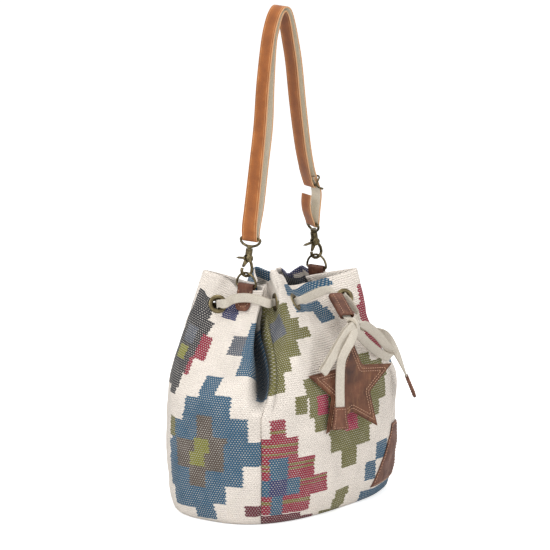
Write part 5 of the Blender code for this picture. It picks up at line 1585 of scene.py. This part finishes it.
@dataclass
class Bow:
    """The drawstring, its keeper, the knot, two loops, and two tails with leather tips."""

    shop: Workshop
    form: ClothForm
    lace: float = 11.0
    in_eyelet: float = 9.0
    in_knot: float = 7.5
    thick: float = 1.8
    knot: Point = (-1.0, -105.0, 221.0)
    knot_size: Point = (8.5, 5.5, 7.5)
    knot_swell: float = 1.2
    keeper_top: Point = (20.0, -63.0, 249.0)
    keeper_foot: Point = (6.0, -91.0, 229.0)
    keeper_wide: float = 18.0
    keeper_deep: float = 7.6
    keeper_wall: float = 1.3
    tip_long: float = 26.0
    tip_wide: float = 20.8
    tip_thick: float = 3.6
    tip_seam: float = 2.0

    def build(self) -> None:
        """Make every piece of lace and its leather."""
        self.drawstring()
        self.keeper()
        self.knot_wraps()
        left = (0.62, -0.35, -0.7)
        self.loop("left", left, [
            self.on_knot((-0.92, -0.1, 0.2), 1.6), (-24, -107, 213.5), (-38.6, -105.6, 199), (-50, -102.8, 184.5),
            (-56, -101, 177), (-58, -102.2, 174.6), (-56.4, -104.2, 176.6), (-49.2, -106, 185.4),
            (-38, -108.8, 200.4), (-24, -110.6, 215), self.on_knot((-0.75, -0.6, 0.4), 1.4)])
        right = (0.3, -0.55, 0.78)
        self.loop("right", right, [
            self.on_knot((0.9, -0.35, 0.12), 1.7), (19, -107.5, 218.5), (49, -103.5, 201.5), (75, -99.5, 181.5),
            (85, -99.5, 172.5), (79, -99.5, 168.8), (62, -98.5, 176), (37, -101, 190.5), (16, -103.5, 205),
            self.on_knot((0.55, -0.2, -0.8), 1.0)])
        face, edge = (0.8, -0.6, 0.0), (0.72, 0.62, 0.1)
        self.tail("front", [
            (self.on_knot((-0.35, -0.9, -0.3), 1.2), (0.62, -0.4, -0.65)), ((-24, -118, 208.5), (0.66, -0.5, -0.5)),
            ((-33.5, -115.5, 195.5), (0.76, -0.6, -0.2)), ((-36, -112.5, 183.5), face), ((-36.5, -111.5, 160), face),
            ((-37.4, -112.5, 131.4), face)])
        self.tail("back", [
            (self.on_knot((0.85, 0.4, -0.35), 0.9), (0.2, -0.9, 0.3)), ((30, -95, 210), (0.2, -0.9, 0.3)),
            ((55, -93.5, 205.5), (0.1, -0.9, 0.4)), ((80, -92.5, 194), (0.4, -0.6, 0.6)),
            ((97, -97, 170.5), (0.8, 0.1, 0.5)), ((106.5, -104.5, 142.5), edge)])

    def on_knot(self, direction: Iterable[float], gap: float) -> Array:
        """A point in a direction from the middle of the knot, at a gap from its skin."""
        ahead = unit(direction)
        reach = 1 / np.linalg.norm(ahead / np.array(self.knot_size))
        return np.array(self.knot) + ahead * (reach + gap)

    def width(self, point: Array) -> float:
        """The lace's width: drawn together where it enters the knot."""
        return float(np.interp(np.linalg.norm(point - np.array(self.knot)), (8, 20), (self.in_knot, self.lace)))

    def keeper_axes(self) -> tuple[Array, Array, Array, Array, Array]:
        """The keeper's ends, and the directions along it, across it and towards its lower wall."""
        top, foot = np.array(self.keeper_top), np.array(self.keeper_foot)
        ahead = unit(foot - top)
        side = unit(np.cross(ahead, [-0.42, -0.91, 0]))
        return top, foot, ahead, side, np.cross(ahead, side)

    def drawstring(self) -> None:
        """The lace from the keeper, in and out of the eight eyelets, to the knot."""
        holes = self.form.holes
        lift, tab = (0.0, 0.0, 1.0), TAB_X + TAB_LEAN * 18.0 + 1.5 + self.thick

        def out(number: int, away: float, x: float = 0.0, y: float = 0.0, z: float = 0.0) -> tuple[Array, Point]:
            """A place in front of or behind an eyelet."""
            centre, normal = holes[number - 1]
            return centre + normal * away + np.array([x, y, z]), lift

        top, foot, ahead, side, lower = self.keeper_axes()
        level = tuple(-side)
        rest = lower * (self.keeper_deep / 2 - self.keeper_wall - self.thick / 2 - 0.45)
        stops = [(self.on_knot((0.3, 0.72, 0.62), 1.0), level), (foot + rest, level), (foot + rest - ahead * 4, level),
                 ((top + foot) / 2 + rest, level), (top + rest + ahead * 2, level), (top + rest - ahead * 5, level),
                 (top + np.array([-7.0, 9, 6]), (0.6, 0.3, 0.75)), out(3, 8, 6, 0, -0.5), out(3, 3), out(3, -5),
                 out(2, -5), out(2, 3), out(2, 7, -5, -3), ((-tab - 1, -24, 255), lift), ((-tab - 4, -10, 256), lift),
                 ((-tab - 6, 6, 253), lift), out(1, 8, 1, -9), out(1, 3), out(1, -5), out(8, -5), out(8, 3),
                 out(8, 6, 9, 2, -1), ((-16, 66, 241), lift), ((4, 70.5, 240), lift), ((18, 70, 239), lift),
                 out(7, 9, -10), out(7, 3), out(7, -5), out(6, -5), out(6, 3), out(6, 7, 4, -6, 1),
                 ((tab + 9, 18, 243), lift), ((tab + 6, 2, 243), lift), ((tab + 6, -14, 243), lift),
                 ((tab + 5, -27, 243), lift), out(5, 8, 2, 7), out(5, 3), out(5, -5), out(4, -5), out(4, 3),
                 out(4, 7, -5, -2, -1), ((32, -88, 227), (-0.4, -0.2, 0.9)),
                 (self.on_knot((0.85, 0.35, 0.45), 1.0), (-0.3, 0.0, 0.95))]
        line, lay = through([p for p, _ in stops], 6), through([a for _, a in stops], 6)
        line, lay = evenly(line, 1.4, lay)
        wide = []
        for point in line:
            near = min(np.linalg.norm(point - centre) for centre, _ in holes)
            turn = float(np.interp(np.linalg.norm(point - top), (4, 20), (7.6, self.lace)))
            wide.append(min(self.width(point), turn, float(np.interp(near, (5.5, 11), (self.in_eyelet, self.lace)))))
        piece = ribbon("drawstring_lace", line, lay, wide, self.thick, 20, 4.0)
        self.shop.give(piece, self.shop.finishes.lace, "flat_lace", "bag", "drawstring")

    def keeper(self) -> None:
        """A leather sleeve that holds the lace together."""
        top, foot, ahead, side, lower = self.keeper_axes()
        rows = []
        for point, shrink in ((top, 0.35), (top + ahead * 0.35, 0.0), (top + ahead * 8, -0.25),
                              ((top + foot) / 2, -0.1), (foot - ahead * 8, -0.25), (foot - ahead * 0.35, 0.0),
                              (foot, 0.35), (foot, self.keeper_wall), ((top + foot) / 2, self.keeper_wall + 0.1),
                              (top, self.keeper_wall)):
            section = rounded(self.keeper_wide - 2 * shrink, self.keeper_deep - 2 * shrink, 44, 3.4)
            rows.append(point + section[:, :1] * side + section[:, 1:] * lower)
        finishes = self.shop.finishes
        piece = rows_object("keeper_leather", rows, joined=True, sharp=70)
        self.shop.give(piece, finishes.brown, "brown_leather", "bag", "cord_keeper")
        sewn_at = -lower * (self.keeper_deep / 2 + 0.05)
        for way in (-1, 1):
            seam = np.linspace(top + ahead * 2.0, foot - ahead * 2.0, 30) + side * way * 4.8 + sewn_at
            sewn = stitches(f"keeper_stitches_{'left' if way < 0 else 'right'}", seam, np.tile(-lower, (30, 1)),
                            2.2, 1.0, 0.32)
            self.shop.give(sewn, finishes.thread, "brown_leather", "bag")

    def knot_wraps(self) -> None:
        """The knot: a core of lace with three turns drawn tight over it."""
        centre, size = np.array(self.knot), np.array(self.knot_size) * self.knot_swell
        points, faces = [], []
        turns = (((0.25, 0.15, 1.0), 8.5, 0.80), ((0.75, -0.2, -0.75), 7.5, 0.93), ((0.9, -0.1, 0.45), 8.0, 1.08))
        for axis, wide, reach in turns:
            way = unit(axis)
            first = unit(np.cross(way, [0, 1, 0.2]))
            second = np.cross(way, first)
            base = len(points)
            count, steps = 16, 56
            for i in range(steps):
                turn = 2 * math.pi * i / steps
                out = first * math.cos(turn) + second * math.sin(turn)
                section = rounded(wide, 2.2, count, 4.0)
                for across, up in section:
                    place = unit(out + way * across / 12.0)
                    radius = 1 / np.linalg.norm(place / size)
                    points.append(centre + place * (radius * reach + up - 0.4))
            faces += skin(count, steps, True, base)
        base = len(points)
        rings, around = 12, 24
        for i in range(1, rings):
            polar = math.pi * i / rings
            for j in range(around):
                turn = 2 * math.pi * j / around
                ball = np.array([math.sin(polar) * math.cos(turn), math.sin(polar) * math.sin(turn), math.cos(polar)])
                points.append(centre + ball * size * 0.82)
        faces += skin(around, rings - 1, base=base)
        piece = mesh_object("knot_lace", np.array(points), faces, np.array(points)[:, ::2])
        self.shop.give(piece, self.shop.finishes.lace, "flat_lace", "bag", "bow_knot")

    def strand(self, name: str, stops: Sequence[tuple], node: str) -> tuple[bpy.types.Object, Array]:
        """Lay one strand of lace.

        Args:
            name: The object's name.
            stops: Places and the width's direction at each.
            node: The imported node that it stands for.

        Returns:
            The strand and its line.
        """
        line, lay = through([p for p, _ in stops], 8), through([a for _, a in stops], 8)
        line, lay = evenly(line, 1.2, lay)
        piece = ribbon(name, line, lay, [self.width(p) for p in line], self.thick, 20, 4.0)
        self.shop.give(piece, self.shop.finishes.lace, "flat_lace", "bag", node)
        return piece, line

    def loop(self, side: str, lay: Point, points: Sequence[Iterable[float]]) -> None:
        """One loop of the bow, from the knot and back to it."""
        piece, line = self.strand(f"{side}_loop_lace", [(p, lay) for p in points], f"bow_loop_{side}")

    def tip_width(self, share: Array | float) -> Array | float:
        """A leather tip's width at a share of its length."""
        return np.interp(share, (0, 0.5, 1), (self.lace + 3, self.lace + 5, self.tip_wide))

    def tail(self, side: str, stops: Sequence[tuple]) -> None:
        """One tail of the bow with its leather tip."""
        piece, line = self.strand(f"{side}_tail_lace", stops, f"bow_tail_{side}")
        across = unit(stops[-1][1])
        coarse = through([p for p, _ in stops], 3)
        ahead = unit(coarse[-1] - coarse[-2])
        start = line[-1] + ahead * 0.3
        places = np.linspace(0, 1, 26)
        spine = start + ahead * (places * self.tip_long)[:, None]
        wide = self.tip_width(places)
        wide[[0, -1]] -= 1.2
        thick = self.tip_thick
        tip = ribbon(f"{side}_tip_leather", spine, np.tile(across, (26, 1)), wide, thick, 36, 9.0)
        finishes = self.shop.finishes
        self.shop.give(tip, finishes.brown, "brown_leather", "bag", f"tail_tip_{side}")
        level = unit(across - ahead * (across @ ahead))
        face = np.cross(ahead, level)
        for way in (-1, 1):
            corners = []
            for share, part in ((0.08, -1), (0.5, -1), (0.92, -1), (0.92, 1), (0.5, 1), (0.08, 1)):
                half = self.tip_width(share) / 2 - self.tip_seam
                corners.append(start + ahead * share * self.tip_long + level * part * half + face * way * thick / 2)
            corners.append(corners[0])
            seam = np.concatenate([np.linspace(a, b, 8)[:-1] for a, b in zip(corners, corners[1:])] + [corners[-1:]])
            sewn = stitches(f"{side}_tip_stitches_{'in' if way < 0 else 'out'}", seam,
                            np.tile(face * way, (len(seam), 1)), 2.1, 0.9, 0.3)
            self.shop.give(sewn, finishes.thread, "brown_leather", "bag")


@dataclass
class StarCharm:
    """A five-pointed charm of two layers of leather on a thin cord."""

    shop: Workshop
    bow: Bow
    centre: Point = STAR_MIDDLE
    radius: float = 64.0
    margin: float = 3.0
    thick: float = 1.4
    turn: float = 17.0
    lean: float = 2.5
    waist: float = 0.46
    hole: float = 1.6
    hanger: float = 0.9
    glue: float = 0.3
    tip_cut: float = 1.7
    notch_cut: float = 3.0

    def __post_init__(self) -> None:
        """Set up the star's plane: a sideways, b up, n out of its face."""
        turn, lean = math.radians(self.turn), math.radians(self.lean)
        self.a = np.array([math.cos(turn), -math.sin(turn), 0])
        self.n = np.array([-math.sin(turn) * math.cos(lean), -math.cos(turn) * math.cos(lean), math.sin(lean)])
        self.b = np.cross(self.n, self.a)
        self.b = self.b if self.b[2] > 0 else -self.b
        self.hole_height = self.radius - 11.0

    def at(self, a: float, b: float, n: float) -> Array:
        """A point of the star's frame."""
        return np.array(self.centre) + self.a * a + self.b * b + self.n * n

    def outline(self, radius: float, inset: float = 0.0, steps: int = 14) -> Array:
        """The star's outline with slightly rounded points.

        Args:
            radius: From the middle to a point.
            inset: How far inside the cut edge it runs.
            steps: How many points each of the ten edges gets.

        Returns:
            Rows of (a, b).
        """
        corners = []
        for i in range(10):
            reach, turn = radius if i % 2 == 0 else radius * self.waist, math.pi / 2 + math.pi * i / 5
            corners.append(np.array([reach * math.cos(turn), reach * math.sin(turn)]))
        edges = []
        for i in range(10):
            way = unit(corners[(i + 1) % 10] - corners[i])
            inward = np.array([-way[1], way[0]])
            edges.append((corners[i] + inward * inset, way))
        moved = []
        for i in range(10):
            (p, d), (q, e) = edges[i - 1], edges[i]
            t = ((q - p)[0] * e[1] - (q - p)[1] * e[0]) / (d[0] * e[1] - d[1] * e[0])
            moved.append(p + d * t)
        line = []
        for i in range(10):
            here, before, after = moved[i], moved[i - 1], moved[(i + 1) % 10]
            cut, next_cut = (self.tip_cut, self.notch_cut)[::1 if i % 2 == 0 else -1]
            a, b = here + unit(before - here) * cut, here + unit(after - here) * cut
            line += [(1 - t) ** 2 * a + 2 * t * (1 - t) * here + t * t * b for t in (0.0, 0.25, 0.5, 0.75)]
            end = after + unit(here - after) * next_cut
            line += [b + (end - b) * t / steps for t in range(steps)]
        return np.array(line)

    def curl(self, spot: Array) -> float:
        """How far the leather stands out of its plane at a spot."""
        reach = np.linalg.norm(spot) / self.radius
        soft = noise.noise(Vector((spot[0] / 34, spot[1] / 34, 3.0)))
        return 0.9 * abs(soft) * reach

    def layer(self, name: str, node: str, radius: float, low: float, high: float) -> None:
        """Cut one layer of leather, with its edge rounded and a hole for the cord."""
        rows = []
        edge = self.outline(radius)
        for inset, share, height in ((0.0, 0.06, high), (0.0, 0.3, high), (0.0, 0.55, high), (0.0, 0.8, high),
                                     (0.9, 1.0, high), (0.35, 1.0, high - 0.12), (0.0, 1.0, high - 0.5),
                                     (0.0, 1.0, low + 0.4), (0.4, 1.0, low), (0.0, 0.8, low), (0.0, 0.4, low),
                                     (0.0, 0.06, low)):
            flat = self.outline(radius, inset) if inset else edge
            rows.append(np.array([self.at(*(p * share), height + self.curl(p * share)) for p in flat]))
        piece = rows_object(name, rows, sharp=75)
        tool = lathe("punch", ((0.01, -6.0), (self.hole, -6.0), (self.hole, 6.0), (0.01, 6.0)),
                     stand(self.at(0, self.hole_height, 0), self.n), 20)
        cut = piece.modifiers.new("punch", "BOOLEAN")
        cut.operation, cut.object, cut.solver = "DIFFERENCE", tool, "EXACT"
        apply_all(piece)
        bpy.data.objects.remove(tool, do_unlink=True)
        keep_sharp(piece, 75)
        self.shop.give(piece, self.shop.finishes.star, "brown_leather", "star", node)

    def build(self) -> None:
        """Cut both layers, sew the face and hang it."""
        self.layer("star_back_leather", "star_backing", self.radius, -self.thick, 0.0)
        self.layer("star_face_leather", "star_face", self.radius - self.margin, self.glue, self.glue + self.thick)
        finishes, top = self.shop.finishes, self.glue + self.thick
        for name, inset in (("outer", 3.0), ("inner", 6.2)):
            flat = self.outline(self.radius - self.margin, inset, 20)
            flat = np.concatenate([flat, flat[:1]])
            seam = np.array([self.at(*p, top + self.curl(p)) for p in flat])
            sewn = stitches(f"star_stitches_{name}", seam, np.tile(self.n, (len(seam), 1)), 2.6, 0.7, 0.42)
            self.shop.give(sewn, finishes.thread, "brown_leather", "star")
        front, back, low = top + self.hanger + 0.4, -self.thick - self.hanger - 0.4, self.hole_height
        line = [self.bow.on_knot((0.0, -0.35, -0.95), 1.3), self.at(5, low + 9, front + 0.4),
                self.at(0.6, low + 3.5, front), self.at(0, low + 0.4, front - 0.8), self.at(0, low, 0.15),
                self.at(0, low + 0.4, back + 0.8), self.at(0.6, low + 3.5, back), self.at(5, low + 9, back - 0.4),
                self.bow.on_knot((-0.05, 0.35, -0.95), 1.3)]
        cord = pipe("hanger_cord", through(line, 6), self.hanger)
        uv = cord.data.uv_layers.new(name="cloth")
        uv.data.foreach_set("uv", np.zeros(2 * len(cord.data.loops), np.float32))
        self.shop.give(cord, finishes.lace, "flat_lace", "star", "star_hanger")


# ---------------------------------------------------------------- the stage


@dataclass(frozen=True)
class Stage:
    """Camera, light, white ground and white surroundings."""

    side: Point = (0.5988, -0.8009, 0.0)
    towards: Point = (-0.7851, -0.5870, 0.1977)
    shift: float = -8.05
    height: float = 268.4
    away: float = 5925.0
    lens: float = 330.0

    def build(self) -> None:
        """Set up the whole stage."""
        self.camera()
        self.lights()
        self.ground()
        self.world()
        bpy.context.scene.view_settings.view_transform = "Standard"

    def target(self) -> Array:
        """The middle of the picture, on the bag's own axis."""
        return np.array(self.side) * self.shift + np.array([0.0, 0.0, self.height])

    def camera(self) -> None:
        """A long lens from slightly above, towards the bag's front left corner."""
        data = bpy.data.cameras.new("camera")
        data.lens, data.sensor_width = self.lens, 36.0
        data.clip_end = 50.0
        camera = linked("camera", data)
        camera.location = Vector((self.target() + unit(self.towards) * self.away) * MM)
        look = Vector(self.target() * MM) - camera.location
        camera.rotation_euler = look.to_track_quat("-Z", "Y").to_euler()
        bpy.context.scene.camera = camera

    def lights(self) -> None:
        """Large soft boxes: a key from the left, a fill from the right and one above."""
        boxes = (("key", (-1.9, 0.2, 1.5), 1.1, 19.0), ("fill", (0.5, -2.3, 0.9), 1.3, 14.0),
                 ("above", (-0.2, -0.2, 2.4), 1.4, 23.0), ("front", (-1.7, -1.5, 0.7), 1.2, 6.0))
        for name, place, size, power in boxes:
            data = bpy.data.lights.new(name, "AREA")
            data.shape, data.size, data.energy = "SQUARE", size, power
            lamp = linked(name, data)
            lamp.location = place
            lamp.rotation_euler = (Vector((0, 0, 0.25)) - Vector(place)).to_track_quat("-Z", "Y").to_euler()

    def ground(self) -> None:
        """A white floor that keeps the shadow."""
        bpy.ops.mesh.primitive_plane_add(size=12.0, location=(0, 0, -0.0003))
        floor = bpy.context.view_layer.objects.active
        floor.name = "floor"
        g = Shader("white_paper")
        seen = g.add("LightPath", out="Is Camera Ray")
        glow = g.add("Math", seen, 0.66, operation="MULTIPLY")
        fibre = g.add("TexNoise", g.add("TexCoord", out="Object"), {"Scale": 900.0})
        colour = g.add("ValToRGB", fibre, stops=((0.0, linear("#EDEDED")), (1.0, linear("#FAFAFA"))))
        g.tree.links.new(glow, g.bsdf.inputs["Emission Strength"])
        g.bsdf.inputs["Emission Color"].default_value = (1.0, 1.0, 1.0, 1.0)
        floor.data.materials.append(g.finish(colour, 0.95, Specular_IOR_Level=0.1))

    def world(self) -> None:
        """White to the camera and to reflections, soft grey as light."""
        world = bpy.data.worlds.new("white_room")
        bpy.context.scene.world = world
        world.use_nodes = True
        g = Nodes(world.node_tree)
        rays = g.add("LightPath").node.outputs
        seen = g.add("Math", rays["Is Camera Ray"], rays["Is Glossy Ray"], operation="MAXIMUM")
        seen = g.add("Math", seen, rays["Is Transmission Ray"], operation="MAXIMUM")
        room, white = (g.add("Background", (level, level, level, 1.0)) for level in (0.42, 1.0))
        g.add("OutputWorld", g.add("MixShader", seen, room, white))


def main() -> None:
    """Build the bag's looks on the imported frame, and its stage."""
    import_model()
    finishes = Finishes.build()
    shop, form = Workshop(finishes), ClothForm()
    ClothBody(shop, form).build()
    hooks = []
    for name, side, turn in (("left", -1.0, -5.0), ("right", 1.0, 24.0)):
        RingTab(shop, name, side).build()
        hooks.append(SnapHook(shop, name, side, turn))
        hooks[-1].build()
    ShoulderStrap(shop, *hooks).build()
    bow = Bow(shop, form)
    bow.build()
    StarCharm(shop, bow).build()
    Stage().build()
    LOG.info("made %d pieces", shop.made)


if __name__ == "__main__":
    logging.basicConfig(level=logging.INFO)
    main()
